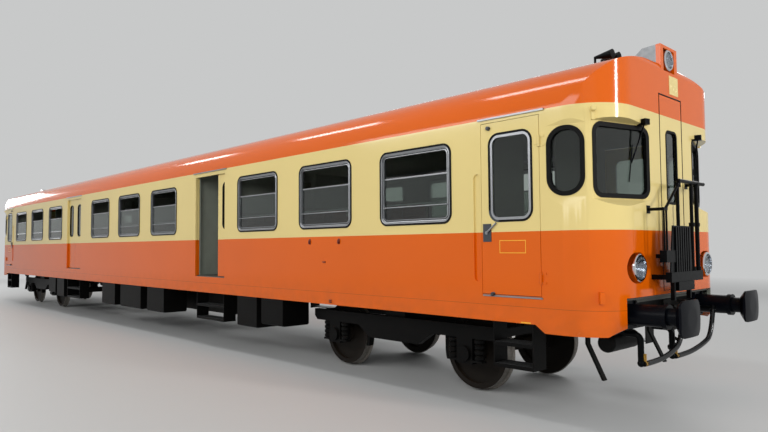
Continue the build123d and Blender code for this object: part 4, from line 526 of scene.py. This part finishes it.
# Roof lamp's housing: the X of its orange front and of its rear, half its width, and the heights of its
# foot, its rear slope and its top.
HOOD_FRONT = HALF_LENGTH - 0.050
HOOD_REAR = HALF_LENGTH - 0.3
HOOD_HALF_WIDTH = 0.215
HOOD_HEIGHTS = (3.4, 3.5, 3.78)


def hood_rule(face):
    """Silver paint on the sides, rear and top of the roof lamp's housing, behind its orange front."""
    centre = face.calc_center_median()
    foot, slope, top = HOOD_HEIGHTS
    outside = abs(abs(centre.y) - HOOD_HALF_WIDTH) < MM or (centre.z > top and face.normal.z > 0.3)
    behind = centre.z > slope and face.normal.x * centre.x < -1.0 and abs(centre.x) < HOOD_REAR
    return 1 if centre.z > foot and (behind or outside and abs(centre.x) < HOOD_FRONT) else 0


def tread_rule(face):
    """Worn plate on what feet touch."""
    return 1 if face.normal.z > 0.9 else 0


def wheel_rule(centre_x):
    """Bright steel on the rolling surface of the wheels of an axle, past the radius of their discs."""
    disc = 0.42

    def choose(face):
        centre = face.calc_center_median()
        x, z = centre.x - centre_x, centre.z - AXLE_HEIGHT
        reach = math.hypot(x, z)
        outward = (face.normal.x * x + face.normal.z * z) / max(reach, MM)
        return 0 if reach > disc and outward > 0.5 else 1
    return choose


# Cock handles at the brake pipes' feet: the X past which they lie, their heights, the places of their
# middles beside the centre line, and half their thickness.
COCK_START = HALF_LENGTH + 0.062
COCK_HEIGHTS = (0.6, 0.72)
COCK_SIDES = (0.935, 0.200)
COCK_HALF = 8.5 * MM


def cock_rule(face):
    """Yellow handle of the cock at a brake pipe's foot."""
    centre = face.calc_center_median()
    near = min(abs(abs(centre.y) - side) for side in COCK_SIDES) < COCK_HALF
    foot, head = COCK_HEIGHTS
    return 1 if near and abs(centre.x) > COCK_START and foot < centre.z < head else 0


def join(work, piece):
    """Add a finished piece to a form."""
    part = mesh_of(piece, "joined_piece")
    work.from_mesh(part)
    bpy.data.meshes.remove(part)


def board(work, low, high, softness=0.002, place=Matrix()):
    """Block with softened edges between two corners, then taken to a place."""
    piece = bmesh.new()
    size = Vector(high) - Vector(low)
    middle = Matrix.Translation((Vector(low) + Vector(high)) / 2)
    bmesh.ops.create_cube(piece, size=1.0, matrix=middle @ Matrix.Diagonal((*size, 1)))
    bmesh.ops.bevel(
        piece, geom=piece.edges[:], offset=softness, segments=2, profile=0.5, affect="EDGES", material=-1
    )
    bmesh.ops.transform(piece, matrix=place, verts=piece.verts)
    join(work, piece)


def spun(work, outline, place, way, steps=20):
    """Form of revolution from points of radius and height, set at a place and pointing one way."""
    piece = bmesh.new()
    verts = [piece.verts.new((radius, 0, height)) for radius, height in outline]
    edges = [piece.edges.new(pair) for pair in zip(verts, verts[1:])]
    bmesh.ops.spin(
        piece, geom=verts + edges, cent=(0, 0, 0), axis=(0, 0, 1), angle=math.tau, steps=steps, use_merge=True
    )
    bmesh.ops.remove_doubles(piece, verts=piece.verts, dist=0.01 * MM)
    bmesh.ops.recalc_face_normals(piece, faces=piece.faces)
    turn = Vector(way).to_track_quat("Z", "Y").to_matrix().to_4x4()
    bmesh.ops.transform(piece, matrix=Matrix.Translation(place) @ turn, verts=piece.verts)
    join(work, piece)


def ring_line(work, x, z, width, proud):
    """Painted line round a rectangle on the near side."""
    piece = bmesh.new()
    middle = ((x[0] + x[1]) / 2, -HALF_WIDTH, (z[0] + z[1]) / 2)
    place = Matrix.Translation(middle) @ Matrix.Rotation(math.pi / 2, 4, "X")
    place = place @ Matrix.Diagonal((x[1] - x[0], z[1] - z[0], 1, 1))
    bmesh.ops.create_grid(piece, x_segments=1, y_segments=1, size=0.5, matrix=place)
    sheet = piece.faces[:][0]
    border = bmesh.ops.inset_region(
        piece, faces=[sheet], thickness=width, use_even_offset=True, use_boundary=True
    )["faces"]
    bmesh.ops.delete(piece, geom=[sheet], context="FACES_ONLY")
    raised = bmesh.ops.extrude_face_region(piece, geom=border, use_keep_orig=True)["geom"]
    verts = [made for made in raised if isinstance(made, bmesh.types.BMVert)]
    bmesh.ops.translate(piece, vec=(0, -proud, 0), verts=verts)
    bmesh.ops.recalc_face_normals(piece, faces=piece.faces)
    join(work, piece)


def at_corners(shape, corners):
    """One near front form repeated at corners, each given as the signs of its X and of its side."""
    gathered = bmesh.new()
    for along, across in corners:
        work = bmesh.new()
        shape(work)
        bmesh.ops.scale(work, vec=(along, across, 1), verts=work.verts)
        if along * across < 0:
            bmesh.ops.reverse_faces(work, faces=work.faces)
        join(gathered, work)
    return gathered


def door_sign(work):
    """Empty outline of the notice on a crew door."""
    ring_line(work, (10.020, 10.350), (1.686, 1.824), width=0.008, proud=0.0006)


def door_catches(work):
    """Small round catches near the top and foot of a crew door's rear edge."""
    knob = (
        (0, 0.038), (0.014, 0.037), (0.022, 0.030), (0.022, 0.018), (0.012, 0.008), (0.024, 0.004),
        (0.024, 0.0),
    )
    for x, z in ((9.897, 3.043), (9.934, 1.248)):
        spun(work, knob, (x, -HALF_WIDTH, z), (0, -1, 0))


def skirt_mark(work):
    """Yellow jacking mark on the edge of the skirt."""
    thickness = 0.8 * MM
    board(work, (10.273, -HALF_WIDTH - thickness, 0.966), (10.393, -HALF_WIDTH, 0.980), 0.0003)


def board_holders(work):
    """Two hooks and a rest for a destination board, and the foot of its prop, on the side."""
    y = -HALF_WIDTH
    for x in (6.667, 7.329):
        # Back plate, arm and upturned tip.
        board(work, (x - 0.020, y - 0.006, 1.805), (x + 0.020, y, 1.880))
        board(work, (x - 0.012, y - 0.026, 1.812), (x + 0.012, y - 0.004, 1.828))
        board(work, (x - 0.012, y - 0.026, 1.812), (x + 0.012, y - 0.020, 1.862))
    board(work, (6.976, y - 0.020, 1.546), (7.036, y, 1.562), 0.003)
    for z in (0.998, 1.024):
        board(work, (7.116, y - 0.014, z - 0.008), (7.170, y, z + 0.008), 0.003)


def corner_peg(work):
    """Short peg on a strap, high on the cab's rounded corner."""
    turn = math.radians(37)
    way = Vector((math.sin(turn), -math.cos(turn), 0))
    centre = Vector((HALF_LENGTH - CORNER_RADIUS, CORNER_RADIUS - HALF_WIDTH, 3.085))
    foot = centre + way * CORNER_RADIUS
    tube = ((0, 0.078), (0.020, 0.076), (0.027, 0.068), (0.027, 0.006), (0.036, 0.003), (0.036, -0.004))
    spun(work, tube, foot, way)
    turned = Matrix.Translation(foot) @ Matrix.Rotation(turn, 4, "Z")
    board(work, (-0.018, -0.020, -0.105), (0.018, 0.004, 0.010), 0.003, turned)


def end_plate(work):
    """Blank cream plate on four studs, under the roof lamp."""
    y, z = (-0.014, 0.219), (3.410, 3.616)
    front = HALF_LENGTH + 0.004
    board(work, (HALF_LENGTH, y[0], z[0]), (front, y[1], z[1]), 0.0015)
    stud, margin = ((0, 0.004), (0.004, 0.003), (0.006, 0.0)), 0.016
    for at_y in (y[0] + margin, y[1] - margin):
        for at_z in (z[0] + margin, z[1] - margin):
            spun(work, stud, (front, at_y, at_z), (1, 0, 0), 12)


def gangway_shadow_strip(work):
    """Black strip round the head and sides of the gangway door, in the rubber material: painted shadow of the
    dark gap round the door.
    """
    half, foot, head, width = 0.283, 1.290, 3.366, 0.013
    back, front = HALF_LENGTH - 0.002, HALF_LENGTH + 0.003
    for side in (-1, 1):
        ends = sorted((side * half, side * (half + width)))
        board(work, (back, ends[0], foot), (front, ends[1], head + width))
    board(work, (back, -half, head), (front, half, head + width))


def guard_bars():
    """Bright bar across the foot of each saloon window, let into the sides of its frame."""
    radius, margin, depth, height, least = 0.008, 0.035, 0.007, 0.205, 0.8
    work = bmesh.new()
    for low, high in island_boxes(frame["nodes"]["window_frames"].data):
        if high.z - low.z < least:
            continue
        side = 1 if low.y > 0 else -1
        width = high.x - low.x - 2 * margin
        place = (low.x + margin, side * (max(abs(low.y), abs(high.y)) - depth), low.z + height)
        spun(work, ((0, 0), (radius, 0), (radius, width), (0, width)), place, (1, 0, 0), 12)
    return work


# Padding

def island_boxes(mesh):
    """Lowest and highest corner of each separate part of a mesh."""
    work = bmesh.new()
    work.from_mesh(mesh)
    bmesh.ops.remove_doubles(work, verts=work.verts, dist=0.01 * MM)
    left, boxes = set(work.verts), []
    while left:
        found = [left.pop()]
        for vert in found:
            for edge in vert.link_edges:
                other = edge.other_vert(vert)
                if other in left:
                    left.remove(other)
                    found.append(other)
        places = [vert.co for vert in found]
        boxes.append([Vector(edge(p[axis] for p in places) for axis in range(3)) for edge in (min, max)])
    work.free()
    return boxes


def settled(form):
    """Apply a form's modifiers to its mesh."""
    graph = bpy.context.evaluated_depsgraph_get()
    mesh = bpy.data.meshes.new_from_object(form.evaluated_get(graph))
    form.modifiers.clear()
    form.data = mesh
    return mesh


# Padding: inset and voxel of the starting block, frames and pressure of the cloth, furthest move, reach in
# a size, half width and depth of a channel and of a welt, deepest of both, share of faces kept.
START_INSET = 0.015
PAD_VOXEL = 0.020
CLOTH_FRAMES = 20
PRESSURE = 4.0
MOVE_CAP = 0.024
FILLED = 0.498
CHANNEL = (0.012, 0.011)
WELT = (0.009, 0.005)
DEEPEST = 0.014
SHARE_KEPT = 0.22


def swollen(scene, size, channels, welt):
    """Mesh of a padded form that fills a size, round the origin.

    A smaller block is remeshed and blown up by cloth pressure, no point moving past a cap. Sewn channels
    cross it at values of Y and Z, and a welt runs round its sides at a share of its height.
    """
    work = bmesh.new()
    bmesh.ops.create_cube(work, size=1.0)
    bmesh.ops.scale(work, vec=[side - 2 * START_INSET for side in size], verts=work.verts)
    bmesh.ops.bevel(
        work, geom=work.edges[:], offset=0.014, segments=3, profile=0.5, affect="EDGES", material=-1
    )
    form = bpy.data.objects.new("pad_form", mesh_of(work, "pad_form"))
    scene.collection.objects.link(form)
    remesh = form.modifiers.new("Remesh", "REMESH")
    remesh.mode = "VOXEL"
    remesh.voxel_size = PAD_VOXEL
    mesh = settled(form)
    starts = [vertex.co.copy() for vertex in mesh.vertices]
    cloth = form.modifiers.new("Cloth", "CLOTH")
    cloth.settings.use_pressure = True
    cloth.settings.uniform_pressure_force = PRESSURE
    cloth.settings.effector_weights.gravity = 0.0
    for step in range(1, CLOTH_FRAMES + 1):
        scene.frame_set(step)
    mesh = settled(form)
    scene.frame_set(1)
    for vertex, start in zip(mesh.vertices, starts):
        move = vertex.co - start
        if move.length > MOVE_CAP:
            vertex.co = start + move * (MOVE_CAP / move.length)
    subdivision = form.modifiers.new("Subdivision", "SUBSURF")
    subdivision.levels = subdivision.render_levels = 1
    mesh = settled(form)
    reach = [max(abs(vertex.co[axis]) for vertex in mesh.vertices) for axis in range(3)]
    mesh.transform(Matrix.Diagonal([FILLED * side / far for side, far in zip(size, reach)] + [1]))
    welt_axis, welt_at = welt
    for vertex in mesh.vertices:
        sewn = sum(math.exp(-((vertex.co[axis] - at) / CHANNEL[0]) ** 2) for axis, at in channels)
        edge = (vertex.co[welt_axis] - welt_at) / WELT[0]
        sewn = CHANNEL[1] * sewn + WELT[1] * math.exp(-edge * edge) * (1 - abs(vertex.normal[welt_axis]))
        vertex.co -= vertex.normal * min(sewn, DEEPEST)
    fewer = form.modifiers.new("Decimate", "DECIMATE")
    fewer.ratio = SHARE_KEPT
    mesh = settled(form)
    bpy.data.objects.remove(form)
    return mesh


# Operators

class Piece:
    """What every operator shares. One that only dresses CAD nodes names their rules, materials and slots."""
    bl_options = {"REGISTER", "UNDO"}
    rows = ()

    def execute(self, context):
        for nodes, rule, materials, slot in self.rows:
            for node in nodes.split():
                dressed(node, rule, materials)
        return {"FINISHED"}


class COACH_OT_body(Piece, bpy.types.Operator):
    """Enamelled shell, skirts and lamp housings"""
    bl_idname = "coach.body"
    bl_label = "Body shell"

    def execute(self, context):
        for node in ("side_walls", "door_surrounds", "roof", "cab_ends"):
            made = dressed(node, shell_rule, ("enamel", "laminate"), joined=node == "roof")
        for node in ("skirts", "corner_skirts"):
            dressed(node, one, ("enamel",))
        made = dressed("lamp_housings", hood_rule, ("enamel", "silver_paint"), cuts=(HOOD_FRONT, -HOOD_FRONT))
        return {"FINISHED"}


class COACH_OT_windows(Piece, bpy.types.Operator):
    """Rubber seals, metal frames and panes"""
    bl_idname = "coach.windows"
    bl_label = "Windows"

    def execute(self, context):
        dressed("window_seals", one, ("rubber",))
        frames = dressed("window_frames", one, ("alloy", "rubber"), channels=True)
        finished("window_bars", guard_bars(), "window_frames", ("alloy",))
        paint("window_panes", "glass")
        return {"FINISHED"}


# Windows of the doors: width, foot, head and corner radius; where their middles lie, along the coach and
# from a leaf's free edge; and the widths of the rubber and its metal rim.
CREW_WINDOW = (0.560, 1.990 + RAIL, 2.954 + RAIL, 0.130)
LEAF_WINDOW = (0.296, 2.058 + RAIL, 2.898 + RAIL, 0.110)
GANGWAY_WINDOW = (0.300, 2.170 + RAIL, 2.975 + RAIL, 0.075)
CREW_WINDOW_X = 10.166
LEAF_WINDOW_IN = 0.298
DOOR_SEAL = 0.024
DOOR_RIM = 0.028


class COACH_OT_doors(Piece, bpy.types.Operator):
    """Crew doors, entrance leaves, gangway doors and their strips"""
    bl_idname = "coach.doors"
    bl_label = "Doors"

    def execute(self, context):
        coats = ("enamel", "rubber", "alloy", "glass", "lock_steel", "alloy")
        for end, name in ENDS:
            rule = lock_rule(door_rule((end * CREW_WINDOW_X, *CREW_WINDOW), DOOR_SEAL, DOOR_RIM, 1))
            for side, across in (("near", 1), ("far", -1)):
                node = f"crew_door_{side}_{name}"
                dressed(node, rule, coats)
                for piece, shape, material in (
                    ("door_sign", door_sign, "yellow"), ("catches", door_catches, "lock_steel"),
                ):
                    work = at_corners(shape, ((end, across),))
                    finished(f"{piece}_{side}_{name}", work, node, (material,))
                for edge in ("outer", "inner"):
                    node = f"leaf_{side}_{name}_{edge}"
                    low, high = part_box(node)
                    toward = end if edge == "outer" else -end
                    centre = (low.x if toward > 0 else high.x) + toward * LEAF_WINDOW_IN
                    rule_here = door_rule((centre, *LEAF_WINDOW), DOOR_SEAL, 0, 1)
                    dressed(node, rule_here, coats[:4])
            rule = door_rule((0, *GANGWAY_WINDOW), DOOR_SEAL, 0, 0)
            dressed(f"gangway_door_{name}", rule, coats[:4])
        for node in ("door_strips", "door_rails"):
            dressed(node, one, ("alloy",))
        return {"FINISHED"}


class COACH_OT_interior(Piece, bpy.types.Operator):
    """Floor, inner walls, racks, desks and seat frames"""
    bl_idname = "coach.interior"
    bl_label = "Interior"

    def execute(self, context):
        for node, material in (
            ("floor", "vinyl"), ("inner_walls", "laminate"), ("cab_bulkheads", "laminate"),
            ("cab_desks", "laminate"), ("seat_frames", "chassis"),
        ):
            paint(node, material)
        dressed("luggage_racks", one, ("alloy",))
        return {"FINISHED"}


class COACH_OT_seats(Piece, bpy.types.Operator):
    """Padded cushions and backs of the benches"""
    bl_idname = "coach.seats"
    bl_label = "Seats"

    def execute(self, context):
        upright = {True: [], False: []}
        for low, high in island_boxes(frame["nodes"]["seat_cushions"].data):
            size = high - low
            upright[size.z > size.x].append(((low + high) / 2, size))
        for standing, kind in ((False, "cushion"), (True, "backrest")):
            places = upright[standing]
            size = places[0][1]
            if any((other - size).length > MM for _, other in places):
                raise RuntimeError(f"the {kind}s differ in size")
            channels = ((1, 0.0), (2, 0.165)) if standing else ((1, 0.0),)
            welt = (0, 0.0) if standing else (2, 0.034)
            pad = swollen(context.scene, size, channels, welt)
            for end, name in ENDS:
                gathered = bmesh.new()
                for centre, _ in places:
                    if centre.x * end > 0:
                        pad.transform(Matrix.Translation(centre))
                        gathered.from_mesh(pad)
                        pad.transform(Matrix.Translation(-centre))
                for face in gathered.faces:
                    face.smooth = True
                mesh = mesh_of(gathered, f"{kind}s_{name}")
                made = link(mesh.name, mesh, "seat_cushions", "leathercloth")
                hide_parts("seat_cushions")
            bpy.data.meshes.remove(pad)
        return {"FINISHED"}


class COACH_OT_underframe(Piece, bpy.types.Operator):
    """Sills, cross members and what hangs from them"""
    bl_idname = "coach.underframe"
    bl_label = "Underframe"
    rows = (
        ("sills cross_members fuel_tanks equipment_boxes air_reservoirs", one, ("chassis",), "frame_paint"),
        ("steps", tread_rule, ("chassis", "step_steel"), "frame_paint"),
        ("air_pipes", cock_rule, ("gloss_black", "mustard"), "frame_paint"),
        ("engines", one, ("iron",), "cast_iron"),
    )


class COACH_OT_running_gear(Piece, bpy.types.Operator):
    """Bogies and wheelsets"""
    bl_idname = "coach.running_gear"
    bl_label = "Running gear"

    def execute(self, context):
        for end in ("front", "rear"):
            dressed(f"bogie_{end}", one, ("chassis",))
        for number in range(1, 5):
            node = f"wheelset_{number}"
            low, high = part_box(node)
            dressed(node, wheel_rule((low.x + high.x) / 2), ("tread", "wheel"), 25)
        return {"FINISHED"}


class COACH_OT_front_gear(Piece, bpy.types.Operator):
    """Buffers, couplings and gangway gear"""
    bl_idname = "coach.front_gear"
    bl_label = "Buffing and gangway gear"
    rows = (
        ("buffers", one, ("buffer_paint",), "buffer_paint"), ("couplings", one, ("iron",), "frame_paint"),
        ("gangway_gear", one, ("gloss_black",), "frame_paint"),
    )


class COACH_OT_fittings(Piece, bpy.types.Operator):
    """Lamps, roof vents and wipers"""
    bl_idname = "coach.fittings"
    bl_label = "Lamps and fittings"
    rows = (
        ("headlamps", one, ("chrome",), "chrome"),
        ("roof_vents wipers", one, ("gloss_black",), "frame_paint"),
    )

    def execute(self, context):
        paint("lamp_lenses", "lamp_glass")
        return super().execute(context)


class COACH_OT_trim(Piece, bpy.types.Operator):
    """Small marks, pegs and plates on the body, brackets in painted shade, and black strips of painted shadow
    round the gangway doors
    """
    bl_idname = "coach.trim"
    bl_label = "Trim"

    def execute(self, context):
        for name, shape, corners, carrier, material, slot in (
            ("skirt_marks", skirt_mark, EVERY_CORNER, "skirts", "yellow", "body_paint"),
            # The board holders take the body's orange darkened with painted shade.
            ("board_holders", board_holders, BOTH_ENDS, "side_walls", "red_oxide", "body_paint"),
            ("corner_pegs", corner_peg, EVERY_CORNER, "cab_ends", "enamel", "body_paint"),
            ("end_plates", end_plate, BOTH_ENDS, "cab_ends", "cream_plate", "body_paint"),
            # Black strips round the gangway doors: painted shadow of the gap round each door, drawn as
            # rubber.
            ("gangway_shadow_strips", gangway_shadow_strip, BOTH_ENDS, "cab_ends", "rubber", "black_rubber"),
        ):
            finished(name, at_corners(shape, corners), carrier, (material,))
        return {"FINISHED"}


# Points of the front hoses: X past the body's end, Y, and Z over the rail.
HOSE_ROUTES = (
    ("main", ((0.07, -0.9, 0.59), (0.09, -0.7, 0.592), (0.12, -0.45, 0.64), (0.122, -0.19, 0.728),
              (0.116, -0.125, 0.965))),
    ("brake", ((0.07, -0.165, 0.575), (0.095, 0.06, 0.58), (0.13, 0.35, 0.64), (0.14, 0.61, 0.716),
               (0.134, 0.69, 1))),
)
HOSE_DIAMETER = 0.052


class COACH_OT_hoses(Piece, bpy.types.Operator):
    """Brake hoses under both ends"""
    bl_idname = "coach.hoses"
    bl_label = "Brake hoses"

    def execute(self, context):
        for end, name in ENDS:
            for which, route in HOSE_ROUTES:
                points = [(end * (HALF_LENGTH + x), end * y, z + RAIL) for x, y, z in route]
                curve = bpy.data.curves.new(f"hose_{which}_{name}", "CURVE")
                curve.dimensions = "3D"
                curve.bevel_depth = HOSE_DIAMETER / 2
                curve.bevel_resolution = 6
                curve.resolution_u = 16
                curve.use_fill_caps = True
                spline = curve.splines.new("NURBS")
                spline.points.add(len(points) - 1)
                for point, at in zip(spline.points, points):
                    point.co = (*at, 1)
                spline.order_u = 3
                spline.use_endpoint_u = True
                node = f"air_hose_{which}_{name}"
                hose = link(curve.name, curve, node, "hose_rubber")
                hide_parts(node)
                runs = sum((Vector(b) - Vector(a)).length for a, b in zip(points, points[1:]))
                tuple(points[0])
        return {"FINISHED"}


# Area lamps: name, place, point looked at, size and power.
LAMPS = (
    ("key", (20, -14, 7), (8, -1.4, 2), (10, 7), 1150),
    ("side_fill", (2, -15, 8), (2, -1.4, 2), (20, 3), 850),
    ("front_fill", (24, 2, 6), (11, 0, 2), (1.2, 4), 800),
    ("far_fill", (0, 15, 8), (0, 1.4, 2), (20, 3), 800),
    ("rear_fill", (-24, -2, 6), (-11, 0, 2), (4, 4), 600),
    ("roof_rear", (-7, -2.5, 9), (-7, -1.2, 3), (3.5, 0.8), 85),
    ("roof_middle", (0.5, -2.5, 9), (0.5, -1.2, 3), (3.5, 0.8), 85),
    ("roof_front", (7.5, -2.5, 9), (7.5, -1.2, 3), (3.5, 0.8), 85),
)


WORLD_LIGHT = 0.35
# Half the side of the floor, and the distances from the middle over which it fades into the backdrop.
FLOOR_HALF = 150
FADE = (11.5, 30.0)


def seen_rays(tree):
    """1 for rays that show the backdrop itself: seen straight, mirrored or through glass."""
    path = add(tree, "LightPath").node.outputs
    rays = path["Is Camera Ray"]
    for kind in ("Is Glossy Ray", "Is Transmission Ray"):
        rays = add(tree, "Math", {0: rays, 1: path[kind]}, operation="MAXIMUM")
    return rays


class COACH_OT_stage(Piece, bpy.types.Operator):
    """Plain floor, soft light and the camera"""
    bl_idname = "coach.stage"
    bl_label = "Stage"

    def execute(self, context):
        scene = context.scene
        sizes = scene.coach_sizes
        work = bmesh.new()
        bmesh.ops.create_grid(work, x_segments=1, y_segments=1, size=FLOOR_HALF)
        mesh = mesh_of(work, "floor_sheet")
        sheet = bpy.data.objects.new("floor_sheet", mesh)
        scene.collection.objects.link(sheet)
        colours = scene.coach_colours
        material, tree, place = begun("painted_floor")
        paint = add(tree, "BsdfPrincipled", {"Base Color": tuple(colours.floor), "Roughness": 0.6})
        away = add(tree, "VectorMath", {0: place}, "Value", operation="LENGTH")
        fading = add(tree, "MapRange", {0: away, 1: FADE[0], 2: FADE[1]})
        far = add(tree, "Math", {0: fading, 1: seen_rays(tree)}, operation="MULTIPLY")
        backdrop = add(tree, "Emission", {"Color": tuple(colours.backdrop)})
        add(tree, "OutputMaterial", {"Surface": add(tree, "MixShader", {0: far, 1: paint, 2: backdrop})})
        mesh.materials.append(material)

        world = bpy.data.worlds.new("studio")
        world.use_nodes = True
        tree = world.node_tree
        tree.nodes.clear()
        light = add(tree, "Background", {"Color": linear("#f2f3f5"), "Strength": WORLD_LIGHT})
        seen = add(tree, "Background", {"Color": tuple(colours.backdrop)})
        blend = add(tree, "MixShader", {0: seen_rays(tree), 1: light, 2: seen})
        add(tree, "OutputWorld", {"Surface": blend})
        scene.world = world

        for name, place, aim, size, power in LAMPS:
            lamp = bpy.data.lights.new(name, "AREA")
            lamp.shape = "RECTANGLE"
            lamp.size, lamp.size_y = size
            lamp.energy = power
            made = bpy.data.objects.new(name, lamp)
            # The key lamp would mirror as a white sheet in the near side.
            made.visible_glossy = name != "key"
            way = Vector(aim) - Vector(place)
            made.matrix_world = Matrix.Translation(place) @ way.to_track_quat("-Z", "Y").to_matrix().to_4x4()
            scene.collection.objects.link(made)

        heading, rise, roll = sizes.camera_turn
        level = math.cos(rise)
        forward = Vector((math.cos(heading) * level, math.sin(heading) * level, math.sin(rise)))
        side = Vector((math.sin(heading), -math.cos(heading), 0))
        above = side.cross(forward)
        right = math.cos(roll) * side + math.sin(roll) * above
        upward = math.cos(roll) * above - math.sin(roll) * side
        turn = Matrix((right, upward, -forward)).transposed().to_4x4()
        lens = bpy.data.cameras.new("camera")
        lens.lens = sizes.lens
        lens.clip_end = 400
        camera = bpy.data.objects.new("camera", lens)
        camera.matrix_world = Matrix.Translation(sizes.camera_place) @ turn
        scene.collection.objects.link(camera)
        scene.camera = camera
        scene.view_settings.view_transform = "Standard"
        return {"FINISHED"}


OPERATORS = (
    COACH_OT_body, COACH_OT_windows, COACH_OT_doors, COACH_OT_interior, COACH_OT_seats,
    COACH_OT_underframe, COACH_OT_running_gear, COACH_OT_front_gear, COACH_OT_fittings, COACH_OT_trim,
    COACH_OT_hoses, COACH_OT_stage,
)


class COACH_PT_panel(bpy.types.Panel):
    """The coach's operators, and what a user may change"""
    bl_idname = "COACH_PT_panel"
    bl_label = "Railcar coach"
    bl_space_type = "VIEW_3D"
    bl_region_type = "UI"
    bl_category = "Coach"

    def draw(self, context):
        layout = self.layout
        for group in (context.scene.coach_colours, context.scene.coach_sizes):
            for name in group.bl_rna.properties.keys():
                if name not in {"name", "rna_type"}:
                    layout.prop(group, name)
        for operator in OPERATORS:
            layout.operator(operator.bl_idname)


CLASSES = (CoachColours, CoachSizes, *OPERATORS, COACH_PT_panel)


def register():
    for kind in CLASSES:
        bpy.utils.register_class(kind)
    bpy.types.Scene.coach_colours = bpy.props.PointerProperty(type=CoachColours)
    bpy.types.Scene.coach_sizes = bpy.props.PointerProperty(type=CoachSizes)


def unregister():
    del bpy.types.Scene.coach_sizes
    del bpy.types.Scene.coach_colours
    for kind in reversed(CLASSES):
        bpy.utils.unregister_class(kind)


def main():
    register()
    scene = bpy.context.scene
    MATERIALS.update(make_materials(scene.coach_colours, scene.coach_sizes))
    for operator in OPERATORS:
        group, name = operator.bl_idname.split(".")
        getattr(getattr(bpy.ops, group), name)()
    bpy.context.view_layer.update()


if __name__ == "__main__":
    main()
